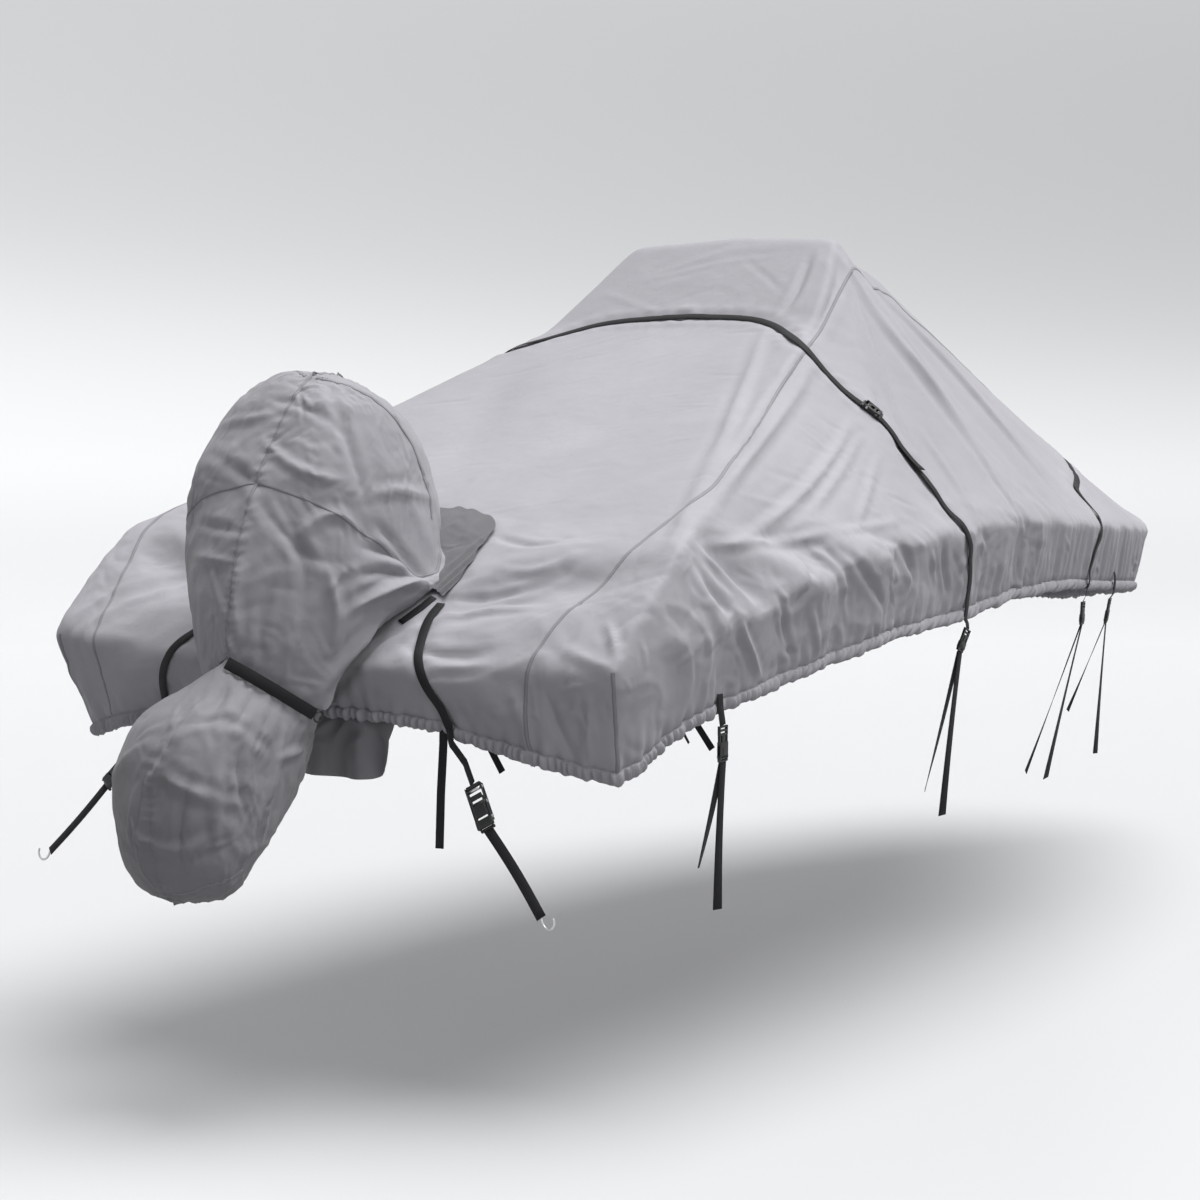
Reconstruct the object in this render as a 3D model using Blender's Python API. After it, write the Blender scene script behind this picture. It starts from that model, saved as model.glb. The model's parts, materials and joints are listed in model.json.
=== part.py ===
"""Fitted boat cover with a matching outboard hood, and the webbing that ties both down.

Run with: blender --background --python part.py

The boat, its motor and its trailer are not part of the model, so the cover and the hood are
hollow cloth shells. Every table below is measured in metres from the stern: x to starboard,
y towards the bow from the transom, z up from the ground. The finished model is shifted so
that its origin lies under the top of the crown, where the boat's frame holds the cloth up.
"""

import math
from collections import namedtuple

import bpy
import numpy as np
from mathutils import Vector
from mathutils.bvhtree import BVHTree

# ---------------------------------------------------------------- driving dimensions

CROWN = (0.0, 2.118, 2.2105)     # what holds the cloth up, under the crown
CLOTH = 0.002                    # thickness of the cloth
PORT_SEAM = 0.07                 # how much further outboard the port seam lies at the stern
PORT_FULL = 0.025                # how much fuller the port side stands near the stern
LOPSIDED = 1.5                   # length from the stern over which the port side differs
MERGE = 1e-6                     # points nearer than this are one point
SEAM_GAP = 0.0004                # how far a panel stops short of its seam line
REST_GAP = 0.0007                # clear air between webbing and the cloth under it
JOIN_GAP = 0.0005                # clear air between webbing and the hard piece it runs into
WEBBING = (0.025, 0.0018)        # width and thickness of the tie-down webbing
WAIST_WEBBING = (0.030, 0.0020)  # the hood's waist strap
STEP = 0.045                     # length of one piece of webbing between two bends
EASE_ROUNDS = 2                  # how often the way webbing faces is eased along its run
LIFT_ROUNDS = 16                 # how often webbing is raised until it clears the cloth
LIFT_ALONG = np.linspace(0, 1, 13)
PAST_EDGE = 0.012                # webbing this far from the cloth may hang past its edge
BESIDE = 1.3                     # it does so when it is this much further off than it is high
LIFT_SHARE = 1.2                 # share of a shortfall that one round of lifting makes up
LIFT_LINES = ((-1, -1), (-0.67, -0.67), (-0.33, -0.33), (0, 0), (0.33, 0.33), (0.67, 0.67), (1, 1),
              (-1, 1), (1, -1), (-1, 0), (0, 1), (1, 0), (0, -1))

ROW_STEP = 0.13                  # length along the rail of one row of the cover
COLUMNS = (7, 7, 4)              # columns of each half: centre panel, side panel, skirt
RIDGE_REACH = 0.035              # how far the ridges are rounded along the boat
FOLD_REACH = 0.022               # how far the ridges are rounded across the boat

# A row for each section of the cover, from the stern fold to the stem.
# deck: the centre line; edge: the ridge beside it; rail: the fold over the boat's rail;
# hem: the elastic edge; seam: share of the way from the centre line to the rail.
Section = namedtuple("Section", "deck_y deck_z edge_x edge_y edge_z rail_x rail_y rail_z "
                                "hem_x hem_y hem_z seam")
SECTIONS = (
    Section(0.000, 1.060, 0.894, 0.084, 1.087, 0.895, 0.084, 1.083, 0.841, 0.175, 0.800, 0.755),
    Section(0.160, 1.170, 0.894, 0.220, 1.225, 0.915, 0.210, 1.105, 0.862, 0.262, 0.832, 0.700),
    Section(0.370, 1.320, 0.893, 0.370, 1.352, 0.932, 0.400, 1.135, 0.884, 0.420, 0.905, 0.685),
    Section(0.620, 1.440, 0.820, 0.620, 1.450, 0.950, 0.650, 1.185, 0.905, 0.650, 0.955, 0.700),
    Section(1.000, 1.600, 0.705, 1.000, 1.602, 0.975, 1.000, 1.262, 0.933, 1.000, 1.010, 0.620),
    Section(1.400, 1.775, 0.590, 1.400, 1.770, 0.988, 1.400, 1.320, 0.947, 1.400, 1.060, 0.500),
    Section(1.780, 1.935, 0.470, 1.780, 1.930, 0.989, 1.780, 1.348, 0.947, 1.780, 1.085, 0.400),
    Section(2.118, 2.226, 0.353, 2.118, 2.210, 0.982, 2.118, 1.360, 0.938, 2.118, 1.118, 0.330),
    Section(2.230, 2.172, 0.328, 2.230, 2.155, 0.978, 2.230, 1.358, 0.936, 2.230, 1.122, 0.320),
    Section(2.500, 2.100, 0.300, 2.500, 2.095, 0.955, 2.500, 1.340, 0.915, 2.500, 1.125, 0.300),
    Section(3.000, 1.955, 0.235, 3.000, 1.945, 0.895, 3.000, 1.310, 0.855, 3.000, 1.095, 0.280),
    Section(3.500, 1.800, 0.170, 3.500, 1.790, 0.770, 3.550, 1.280, 0.735, 3.550, 1.060, 0.260),
    Section(4.000, 1.625, 0.110, 4.000, 1.612, 0.600, 4.060, 1.252, 0.535, 3.990, 1.020, 0.260),
    Section(4.380, 1.484, 0.090, 4.380, 1.470, 0.430, 4.480, 1.244, 0.335, 4.260, 0.990, 0.260),
    Section(4.680, 1.405, 0.080, 4.690, 1.390, 0.265, 4.820, 1.250, 0.170, 4.400, 0.965, 0.260),
    Section(4.900, 1.372, 0.050, 4.920, 1.358, 0.115, 5.050, 1.252, 0.065, 4.510, 0.950, 0.260),
    Section(5.040, 1.332, 0.000, 5.060, 1.318, 0.000, 5.130, 1.252, 0.000, 4.550, 0.945, 0.260),
)

# The hem across the transom, by share of the way from the centre line to the corner.
TransomHem = namedtuple("TransomHem", "share x y z")
TRANSOM_HEM = (
    TransomHem(0.00, 0.000, 0.085, 0.925),
    TransomHem(0.25, 0.220, 0.085, 0.918),
    TransomHem(0.42, 0.380, 0.085, 0.908),
    TransomHem(0.55, 0.500, 0.085, 0.874),
    TransomHem(0.755, 0.658, 0.094, 0.847),
    TransomHem(1.00, 0.841, 0.175, 0.800),
)

# Main folds. On the side a and b are y and z, on the deck x and y, on the transom x and z.
# depth is positive for a ridge and negative for a trough.
Fold = namedtuple("Fold", "face start_a start_b end_a end_b width depth")
FOLDS = (
    Fold("deck", 0.34, 0.18, 0.86, 0.33, 0.050, -0.022),
    Fold("deck", 0.30, 0.26, 0.62, 0.36, 0.045, 0.016),
    Fold("deck", 0.36, 0.10, 0.70, 0.17, 0.050, 0.014),
    Fold("deck", 0.45, 0.55, 0.80, 0.95, 0.060, 0.010),
    Fold("deck", 0.10, 0.80, 0.42, 1.50, 0.080, -0.010),
    Fold("deck", 0.25, 0.60, 0.60, 1.10, 0.070, -0.009),
    Fold("side", 2.10, 2.12, 1.45, 1.38, 0.055, 0.014),
    Fold("side", 2.14, 2.12, 1.75, 1.40, 0.050, -0.012),
    Fold("side", 2.20, 2.12, 2.05, 1.40, 0.055, 0.013),
    Fold("side", 2.28, 2.10, 2.45, 1.40, 0.050, -0.012),
    Fold("side", 2.40, 2.06, 2.80, 1.38, 0.050, 0.012),
    Fold("side", 2.60, 2.00, 3.20, 1.36, 0.055, -0.012),
    Fold("side", 0.42, 1.34, 0.50, 1.14, 0.030, 0.012),
    Fold("side", 0.52, 1.36, 0.72, 1.18, 0.035, -0.020),
    Fold("side", 0.60, 1.38, 0.95, 1.22, 0.040, 0.018),
    Fold("side", 0.80, 1.36, 1.10, 1.26, 0.040, -0.016),
    Fold("side", 0.95, 1.40, 1.32, 1.26, 0.045, 0.014),
    Fold("side", 1.20, 1.38, 1.50, 1.22, 0.040, -0.014),
    Fold("transom", 0.36, 1.04, 0.66, 0.98, 0.040, 0.014),
    Fold("transom", 0.40, 0.98, 0.60, 0.88, 0.035, -0.014),
    Fold("transom", 0.74, 1.04, 0.72, 0.86, 0.035, -0.010),
    Fold("transom", 0.82, 1.04, 0.80, 0.84, 0.025, 0.008),
)

# The skirt hangs in shallow waves, wider and deeper where the elastic pulls it in.
SKIRT_WAVE = 0.27                # length of one wave along the rail
SKIRT_DEPTH = 0.008              # how far the waves stand in and out
SKIRT_FADE = 0.4                 # length from the corner over which the waves begin
TRANSOM_BELLY = 0.012            # how far the cloth over the transom bellies aft

# A row for each ring of the hood's crown, from the top seam to the yoke seam. A ring leans
# from its aft point to its fore point and dips between them; the hood hangs over to port.
# square is 2 for an ellipse and more for a box.
Ring = namedtuple("Ring", "aft_y aft_z fore_y fore_z starboard port dip widest aft_square fore_square")
HOOD_CROWN = (
    Ring(0.100, 1.756, 0.190, 1.760, 0.000, 0.000, 0.00, 0.50, 2.0, 2.0),
    Ring(0.050, 1.728, 0.300, 1.712, 0.090, 0.165, -0.01, 0.42, 2.2, 1.5),
    Ring(0.005, 1.688, 0.405, 1.650, 0.135, 0.262, -0.01, 0.42, 2.6, 1.7),
    Ring(-0.045, 1.620, 0.450, 1.560, 0.180, 0.322, 0.01, 0.45, 2.8, 2.2),
    Ring(-0.090, 1.560, 0.450, 1.475, 0.212, 0.362, 0.05, 0.50, 2.8, 2.5),
)
# The yoke seam round the starboard half of the hood, from its aft point to its fore point,
# and the lower edge: under the waist strap, then free, then resting on the cover.
HoodLine = namedtuple("HoodLine", "share x y z")
HOOD_YOKE = (
    HoodLine(0.00, 0.000, -0.122, 1.505),
    HoodLine(0.12, 0.090, -0.098, 1.478),
    HoodLine(0.23, 0.165, -0.053, 1.442),
    HoodLine(0.34, 0.207, 0.000, 1.397),
    HoodLine(0.44, 0.222, 0.105, 1.337),
    HoodLine(0.54, 0.240, 0.175, 1.286),
    HoodLine(0.62, 0.246, 0.236, 1.264),
    HoodLine(0.80, 0.206, 0.335, 1.342),
    HoodLine(1.00, 0.000, 0.420, 1.402),
)
HOOD_EDGE = (
    HoodLine(0.00, 0.000, -0.232, 1.090),
    HoodLine(0.12, 0.075, -0.185, 1.040),
    HoodLine(0.23, 0.155, -0.085, 0.950),
    HoodLine(0.30, 0.178, -0.032, 1.012),
    HoodLine(0.36, 0.190, -0.014, 1.062),
    HoodLine(0.42, 0.198, 0.028, 1.100),
    HoodLine(0.48, 0.207, 0.095, 1.150),
    HoodLine(0.54, 0.243, 0.165, 1.187),
    HoodLine(0.62, 0.249, 0.230, 1.226),
    HoodLine(0.80, 0.194, 0.325, 1.288),
    HoodLine(1.00, 0.000, 0.392, 1.338),
)
PORT_YOKE = 1.62                 # how much wider the yoke seam is to port
PORT_EDGE = 1.22                 # how much wider the lower edge is to port
HOOD_BULGE = 0.030               # how far the side panels belly out
HOOD_ROWS = 5                    # rows in a side panel
HOOD_COLUMNS = 12                # columns in each half
HOOD_LUMP = (-0.10, 0.12, 1.76, 0.11, 0.030)  # x, y, z, reach and height of the crown's lump

LEG_SLEEVE = (
    Ring(-0.357, 1.000, 0.000, 0.850, 0.155, 0.175, 0.0, 0.42, 2.5, 2.2),
    Ring(-0.449, 0.930, -0.050, 0.760, 0.170, 0.195, 0.0, 0.40, 2.6, 2.2),
    Ring(-0.490, 0.840, -0.115, 0.690, 0.170, 0.200, 0.0, 0.40, 2.6, 2.2),
    Ring(-0.500, 0.740, -0.180, 0.630, 0.162, 0.190, 0.0, 0.42, 2.6, 2.2),
    Ring(-0.485, 0.635, -0.245, 0.570, 0.140, 0.165, 0.0, 0.45, 2.6, 2.2),
    Ring(-0.445, 0.555, -0.310, 0.535, 0.095, 0.110, 0.0, 0.50, 2.4, 2.2),
    Ring(-0.420, 0.528, -0.335, 0.524, 0.000, 0.000, 0.0, 0.50, 2.0, 2.0),
)
SLEEVE_SEWN = 3                  # columns of the hood's lower edge that the sleeve joins
SLEEVE_DROP = 0.003              # how far the sleeve's top starts below that edge
SLEEVE_FRONT = ((0.120, -0.035, 0.930), (0.000, -0.020, 0.912))

# Loose flaps of cloth, by the places along their upper and lower edges, and how each bellies.
Flap = namedtuple("Flap", "name upper lower belly steps rests")
FLAPS = (
    Flap("hood_front_flap",
         ((-0.020, 0.476, 1.385), (0.145, 0.462, 1.379), (0.258, 0.360, 1.325), (0.284, 0.222, 1.231)),
         ((-0.020, 0.570, 1.419), (0.100, 0.560, 1.417), (0.200, 0.525, 1.404), (0.270, 0.484, 1.387),
          (0.303, 0.430, 1.361), (0.312, 0.350, 1.320), (0.326, 0.290, 1.276), (0.312, 0.213, 1.219)),
         (0.0, 0.0, 0.010), 10, True),
    Flap("hood_transom_flap",
         ((-0.265, 0.0895, 0.945), (0.265, 0.0895, 0.945)),
         ((-0.250, 0.080, 0.778), (0.160, 0.080, 0.772), (0.215, 0.080, 0.780), (0.235, 0.080, 0.800)),
         (0.0, -0.006, 0.0), 8, False),
)
HOOD_REACH = 0.12                # how deep under the cover a place of the hood may start
FLAP_REACH = 0.02                # the same for a flap
FLAP_ROWS = 4                    # rows of cloth across a flap
FLAP_REST = 0.0008               # clear air under a hood panel or a flap on the cover
REST_ROUNDS = 16                 # how often resting cloth is raised until it is clear
REST_SPOTS = ((1, 0, 0), (0, 1, 0), (0, 0, 1), (0.5, 0.5, 0), (0, 0.5, 0.5), (0.5, 0, 0.5),
              (0.34, 0.33, 0.33), (0.7, 0.15, 0.15), (0.15, 0.7, 0.15), (0.15, 0.15, 0.7),
              (0.75, 0.25, 0), (0.25, 0.75, 0), (0.75, 0, 0.25), (0.25, 0, 0.75), (0, 0.75, 0.25),
              (0, 0.25, 0.75))

# Routes of the webbing on the starboard half; the port half mirrors them.
CROWN_STRAP = ((0.000, 1.808, 1.957), (0.167, 1.806, 1.954), (0.280, 1.793, 1.944), (0.383, 1.741, 1.915),
               (0.527, 1.620, 1.855), (0.601, 1.635, 1.777), (0.673, 1.662, 1.697), (0.727, 1.700, 1.639),
               (0.842, 1.714, 1.510), (0.886, 1.701, 1.459), (0.961, 1.727, 1.376), (0.983, 1.741, 1.310),
               (0.968, 1.767, 1.215), (0.953, 1.780, 1.130), (0.953, 1.780, 1.092))
BOW_STRAP = ((0.000, 3.980, 1.650), (0.120, 3.930, 1.640), (0.300, 3.800, 1.580), (0.500, 3.550, 1.500),
             (0.680, 3.250, 1.450), (0.798, 2.936, 1.418), (0.852, 2.936, 1.366), (0.905, 2.884, 1.314),
             (0.908, 2.819, 1.221), (0.888, 2.793, 1.135), (0.886, 2.790, 1.100))
STERN_STRAP = ((0.311, 0.202, 1.205), (0.303, 0.167, 1.178), (0.322, 0.107, 1.131),
               (0.372, 0.020, 1.075), (0.398, -0.005, 1.030), (0.420, 0.040, 0.966), (0.432, 0.072, 0.925))
STERN_FALL = ((0.452, 0.056, 0.885), (0.500, 0.045, 0.845), (0.541, 0.020, 0.800))
PORT_FALL = ((0.506, 0.056, 0.885), (0.523, 0.045, 0.845), (0.541, 0.020, 0.800))
# The hook's places, measured from the end of the strap that carries it.
STERN_HOOK = ((0.0000, 0.0000, 0.0000), (0.0045, -0.0015, -0.0115), (0.0135, -0.0025, -0.0205),
              (0.0255, -0.0035, -0.0225), (0.0345, -0.0035, -0.0155), (0.0375, -0.0035, -0.0045),
              (0.0345, -0.0035, 0.0055))
HOOK_WIRE = 0.0025               # half thickness of the hooks' wire
HOOK_LEAN = 0.4                  # sine of the angle between that strap and the hook's shank
RING_REACH = 0.013
RING_WIRE = 0.0022
RING_POINTS = 16
FRONT_STRAP = ((0.236, 0.132, 1.165), (0.262, 0.172, 1.190), (0.279, 0.214, 1.218))
CAM_BUCKLE = (0.700, 1.680, 1.668)  # where the cam buckle lies on the crown strap
CAM_SIZE = (0.070, 0.040, 0.012)
CAM_TAIL = 4                     # pieces of the crown strap that its loose tail lies on
BUCKLE_ROUND = 0.2               # share of a buckle's thickness cut off its long edges
PORT_SPREAD = 1.14               # the port stern strap runs this much further outboard
WAIST_STRAP = ((0.008, -0.236, 1.080), (0.075, -0.190, 1.030), (0.150, -0.088, 0.950))
# Buckles hang from the end of a strap or tab: name, foot end, the way they face, size.
Buckle = namedtuple("Buckle", "name foot face width thickness")
BUCKLES = {
    "crown": Buckle("crown_tie_buckle", (0.958, 1.754, 1.000), (1, 0, 0), 0.034, 0.012),
    "bow": Buckle("bow_tie_buckle", (0.885, 2.789, 1.000), (1, 0.15, 0), 0.034, 0.012),
    "stem": Buckle("stem_tie_buckle", (0.826, 3.124, 0.978), (1, 0.25, 0), 0.034, 0.012),
    "quarter": Buckle("quarter_tie_buckle", (0.902, 0.556, 0.820), (1, -0.1, 0), 0.034, 0.012),
    "stern": Buckle("stern_strap_buckle", (0.615, -0.020, 0.704), (0.35, -0.94, 0), 0.045, 0.022),
}
# Straight webbing under a buckle: layer is 1 for the outboard one of a pair, -1 for the
# inboard one and 0 for one by itself; foot is where it ends.
Leg = namedtuple("Leg", "name tie layer foot")
LEGS = (
    Leg("crown_tie_leg_fore", "crown", 1, (0.800, 1.977, 0.489)),
    Leg("crown_tie_leg_aft", "crown", -1, (0.800, 1.864, 0.578)),
    Leg("bow_tie_leg_fore", "bow", 1, (0.650, 3.060, 0.456)),
    Leg("bow_tie_leg_aft", "bow", -1, (0.650, 2.900, 0.495)),
    Leg("stem_tie_tail", "stem", 1, (0.800, 3.118, 0.544)),
    Leg("stem_tie_leg", "stem", -1, (0.700, 3.118, 0.680)),
    Leg("quarter_tie_leg_fore", "quarter", 1, (0.850, 0.620, 0.438)),
    Leg("quarter_tie_leg_aft", "quarter", -1, (0.850, 0.530, 0.556)),
    Leg("stern_strap_lower", "stern", 0, (0.789, -0.053, 0.522)),
)
LAYER = 0.0014                   # how far the legs of a pair stand off their middle
LEG_STEPS = 4                    # pieces in a straight run of webbing
STEM_TAB = ((0.848, 3.118, 1.150), (0.841, 3.120, 1.112))
STEM_FALL = ((0.842, 3.124, 1.062),)
QUARTER_TAB = ((0.925, 0.540, 0.985), (0.912, 0.545, 0.945))
QUARTER_FALL = ((0.906, 0.550, 0.910),)
CROWN_FALL = ((0.958, 1.782, 1.078), (0.962, 1.779, 1.064))
BOW_FALL = ((0.890, 2.790, 1.086), (0.889, 2.790, 1.074))
HEM_TAIL = ((0.400, 0.089, 0.930), (0.404, 0.087, 0.912))
HEM_TAIL_FALL = ((0.406, 0.084, 0.880), (0.410, 0.068, 0.760), (0.415, 0.055, 0.630))

DARK = (0.012, 0.012, 0.014)
CLOTH_GREY = (0.55, 0.54, 0.57)
STEEL = (0.55, 0.55, 0.56)


# ---------------------------------------------------------------- small helpers

def clear_scene():
    for obj in list(bpy.data.objects):
        bpy.data.objects.remove(obj, do_unlink=True)


def material(name, colour, roughness, metallic=0.0):
    made = bpy.data.materials.new(name)
    made.use_nodes = True
    shader = made.node_tree.nodes["Principled BSDF"]
    shader.inputs["Base Color"].default_value = (*colour, 1.0)
    shader.inputs["Roughness"].default_value = roughness
    shader.inputs["Metallic"].default_value = metallic
    made.diffuse_color = (*colour, 1.0)
    return made


def add_object(name, mesh, colour, roughness, metallic=0.0):
    """Put a mesh in the cover's collection, shifted so that the origin is under the crown."""
    obj = bpy.data.objects.new(name, mesh)
    obj.location = -Vector(CROWN)
    mesh.materials.append(material(name + "_finish", colour, roughness, metallic))
    COLLECTION.objects.link(obj)
    return obj


def smooth_through(t, y, q):
    """Monotone cubic through the points (t, y), read at q."""
    t, y = np.asarray(t, float), np.asarray(y, float)
    step = np.diff(t)
    slope = np.diff(y) / step
    tangent = np.zeros(len(y))
    tangent[0], tangent[-1] = slope[0], slope[-1]
    same = slope[:-1] * slope[1:] > 0
    tangent[1:-1][same] = 2 * slope[:-1][same] * slope[1:][same] / (slope[:-1] + slope[1:])[same]
    i = np.clip(np.searchsorted(t, q, side="right") - 1, 0, len(t) - 2)
    s = (q - t[i]) / step[i]
    return ((2 * s**3 - 3 * s**2 + 1) * y[i] + (s**3 - 2 * s**2 + s) * step[i] * tangent[i]
            + (3 * s**2 - 2 * s**3) * y[i + 1] + (s**3 - s**2) * step[i] * tangent[i + 1])


def rounded(values, reach):
    """Moving mean over the neighbours within reach, with both ends kept."""
    if reach < 1:
        return values
    lead = 2 * values[0] - values[reach:0:-1]
    tail = 2 * values[-1] - values[-2:-reach - 2:-1]
    padded = np.concatenate([lead, values, tail])
    kernel = np.ones(2 * reach + 1) / (2 * reach + 1)
    if values.ndim == 1:
        return np.convolve(padded, kernel, "valid")
    return np.stack([np.convolve(column, kernel, "valid") for column in padded.T], axis=1)


def arc_lengths(path):
    return np.concatenate([[0], np.cumsum(np.linalg.norm(np.diff(path, axis=0), axis=1))])


def read_path(path, marks):
    """Points of a path at the given arc lengths."""
    along = arc_lengths(path)
    return np.stack([np.interp(marks, along, column) for column in path.T], axis=1)


# ---------------------------------------------------------------- cloth that is cut in panels

class Cloth:
    """An open surface made of grids that share points, cut into panels along grid lines."""

    def __init__(self):
        self.index = {}
        self.points = []
        self.triangles = []
        self.owners = []

    def vertex(self, point):
        key = tuple(int(round(c / MERGE)) for c in point)
        if key not in self.index:
            self.index[key] = len(self.points)
            self.points.append(np.array(point, float))
        return self.index[key]

    def add_grid(self, grid, owner, flip=False):
        ids = [[self.vertex(p) for p in row] for row in grid]
        for i in range(len(ids) - 1):
            for j in range(len(ids[0]) - 1):
                a, b, c, d = ids[i][j], ids[i][j + 1], ids[i + 1][j + 1], ids[i + 1][j]
                cuts = [((a, b, c), (a, c, d)), ((a, b, d), (b, c, d))]
                spans = [self.points[a] - self.points[c], self.points[b] - self.points[d]]
                if np.linalg.norm(spans[1]) < np.linalg.norm(spans[0]):
                    cuts.reverse()
                if any(self.in_mid_plane(triangle) for triangle in cuts[0]):
                    cuts.reverse()
                for triangle in cuts[0]:
                    if len(set(triangle)) == 3:
                        self.triangles.append(triangle[::-1] if flip else triangle)
                        self.owners.append(owner)

    def in_mid_plane(self, triangle):
        """Such a triangle would be shared by the port and starboard panels."""
        return len(set(triangle)) == 3 and all(abs(self.points[v][0]) < MERGE for v in triangle)

    def finish(self):
        self.points = np.array(self.points)
        self.triangles = np.array(self.triangles)
        self.owners = np.array(self.owners)

    def edges(self, triangles):
        """Directed edges that only one triangle uses."""
        seen = {}
        for a, b, c in triangles:
            for edge in ((a, b), (b, c), (c, a)):
                seen[edge] = True
        return [edge for edge in seen if (edge[1], edge[0]) not in seen]

    def normals(self):
        a, b, c = (self.points[self.triangles[:, k]] for k in range(3))
        face = np.cross(b - a, c - a)
        total = np.zeros_like(self.points)
        for k in range(3):
            np.add.at(total, self.triangles[:, k], face)
        return total / np.linalg.norm(total, axis=1)[:, None]

    def panel(self, owner, name):
        """One closed solid: the owner's triangles, thickened inwards, short of each seam."""
        own = self.triangles[self.owners == owner]
        normals = self.normals()
        rim = self.edges(own)
        open_rim = set(self.edges(self.triangles))
        seam = {edge for edge in rim if edge not in open_rim}
        pull = {v: np.zeros(3) for edge in seam for v in edge}
        for triangle in own:
            for k in range(3):
                a, b, c = np.roll(triangle, -k)
                if (a, b) in seam:
                    run = self.points[b] - self.points[a]
                    reach = self.points[c] - self.points[a]
                    inward = reach - run * (reach @ run) / (run @ run)
                    inward /= np.linalg.norm(inward)
                    pull[a] += inward
                    pull[b] += inward
        used = sorted({v for triangle in own for v in triangle})
        place = {v: k for k, v in enumerate(used)}
        outer = self.points[used].copy()
        for v, inward in pull.items():
            outer[place[v]] += inward / np.linalg.norm(inward) * SEAM_GAP
        inner = outer - CLOTH * normals[used]
        count = len(used)
        faces = [[place[v] for v in triangle] for triangle in own]
        faces += [[place[v] + count for v in triangle[::-1]] for triangle in own]
        for a, b in rim:
            faces.append([place[b], place[a], place[a] + count, place[b] + count])
        mesh = bpy.data.meshes.new(name)
        mesh.from_pydata([tuple(p) for p in np.vstack([outer, inner])], [], faces)
        mesh.validate()
        mesh.shade_smooth()
        return add_object(name, mesh, CLOTH_GREY, 0.85)

    def rest_on(self, tree, reach):
        """Lift the cloth where its underside would come too near another cloth, or below it."""
        clear = FLAP_REST + CLOTH
        weights = np.array(REST_SPOTS, float)
        for _ in range(REST_ROUNDS):
            lifts = np.zeros(len(self.points))
            ways = np.zeros_like(self.points)
            for triangle in self.triangles:
                for weight, probe in zip(weights, weights @ self.points[triangle]):
                    spot, facing, _, _ = tree.find_nearest(Vector(probe), reach)
                    if spot is None:
                        continue
                    short = clear - (Vector(probe) - spot).dot(facing)
                    for v, share in zip(triangle, short * weight / (weight @ weight)):
                        if share > lifts[v]:
                            lifts[v] = share
                            ways[v] = facing
            self.points += ways * lifts[:, None]

    def tree(self, inside=False):
        """Its outer faces, or its inner ones, for finding the nearest place on the cloth."""
        points, triangles = self.points, self.triangles
        if inside:
            points, triangles = points - CLOTH * self.normals(), triangles[:, ::-1]
        return BVHTree.FromPolygons(points.tolist(), triangles.tolist())


# ---------------------------------------------------------------- the cover

def section_rows(stations):
    """The section table read at stations from 0 at the stern to 1 at the stem."""
    table = np.array(SECTIONS)
    along = arc_lengths(table[:, 5:7])
    share = along / along[-1]
    fine = np.linspace(0, 1, 1001)
    reach = int(round(1000 * RIDGE_REACH / along[-1]))
    rows = np.zeros((len(stations), table.shape[1]))
    for k in range(table.shape[1]):
        if k < 5:
            soft = rounded(np.interp(fine, share, table[:, k]), reach)
            rows[:, k] = np.interp(stations, fine, soft)
        else:
            rows[:, k] = smooth_through(share, table[:, k], stations)
    return rows


def section_curve(row):
    """One half of a section: centre panel, side panel and skirt, from centre line to hem."""
    section = Section(*row)
    centre = np.array([0, section.deck_y, section.deck_z])
    edge, rail, hem = row[2:5], row[5:8], row[8:11]
    corners = np.array([centre, edge, rail, hem])
    along = arc_lengths(corners)
    count = 240
    even = read_path(corners, np.linspace(0, along[-1], count))
    soft = rounded(even, int(round(FOLD_REACH * count / along[-1])))
    soft[:, 0] = np.maximum(soft[:, 0], 0)
    to_rail, to_hem = along[2], along[3]
    deck, side, skirt = COLUMNS
    marks = np.concatenate([
        np.linspace(0, section.seam * to_rail, deck, endpoint=False),
        np.linspace(section.seam * to_rail, to_rail, side, endpoint=False),
        np.linspace(to_rail, to_hem, skirt + 1)])
    where = np.linspace(0, along[-1], count)
    return np.stack([np.interp(marks, where, column) for column in soft.T], axis=1)


def transom_grid(fold_row):
    """The cloth from the stern fold down to the transom hem, one half."""
    deck, side, skirt = COLUMNS
    across = deck + side
    top = fold_row[:across + 1]
    corner = fold_row[across:]
    share = arc_lengths(top) / arc_lengths(top)[-1]
    hem = np.array(TRANSOM_HEM)
    bottom = np.stack([smooth_through(hem[:, 0], hem[:, k], share) for k in (1, 2, 3)], axis=1)
    drop = arc_lengths(corner) / arc_lengths(corner)[-1]
    rows = []
    for j in range(skirt + 1):
        fall = j / skirt + (drop[j] - j / skirt) * share
        line = top + (bottom - top) * fall[:, None]
        chord = corner[0] + (corner[-1] - corner[0]) * drop[j]
        line = line + np.outer(share**4, corner[j] - chord)
        line[:, 1] -= TRANSOM_BELLY * np.sin(math.pi * fall) * (1 - share**3)
        rows.append(line)
    rows[0] = top
    rows[-1] = bottom
    rows = np.array(rows)
    rows[:, -1] = corner
    return rows


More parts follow.
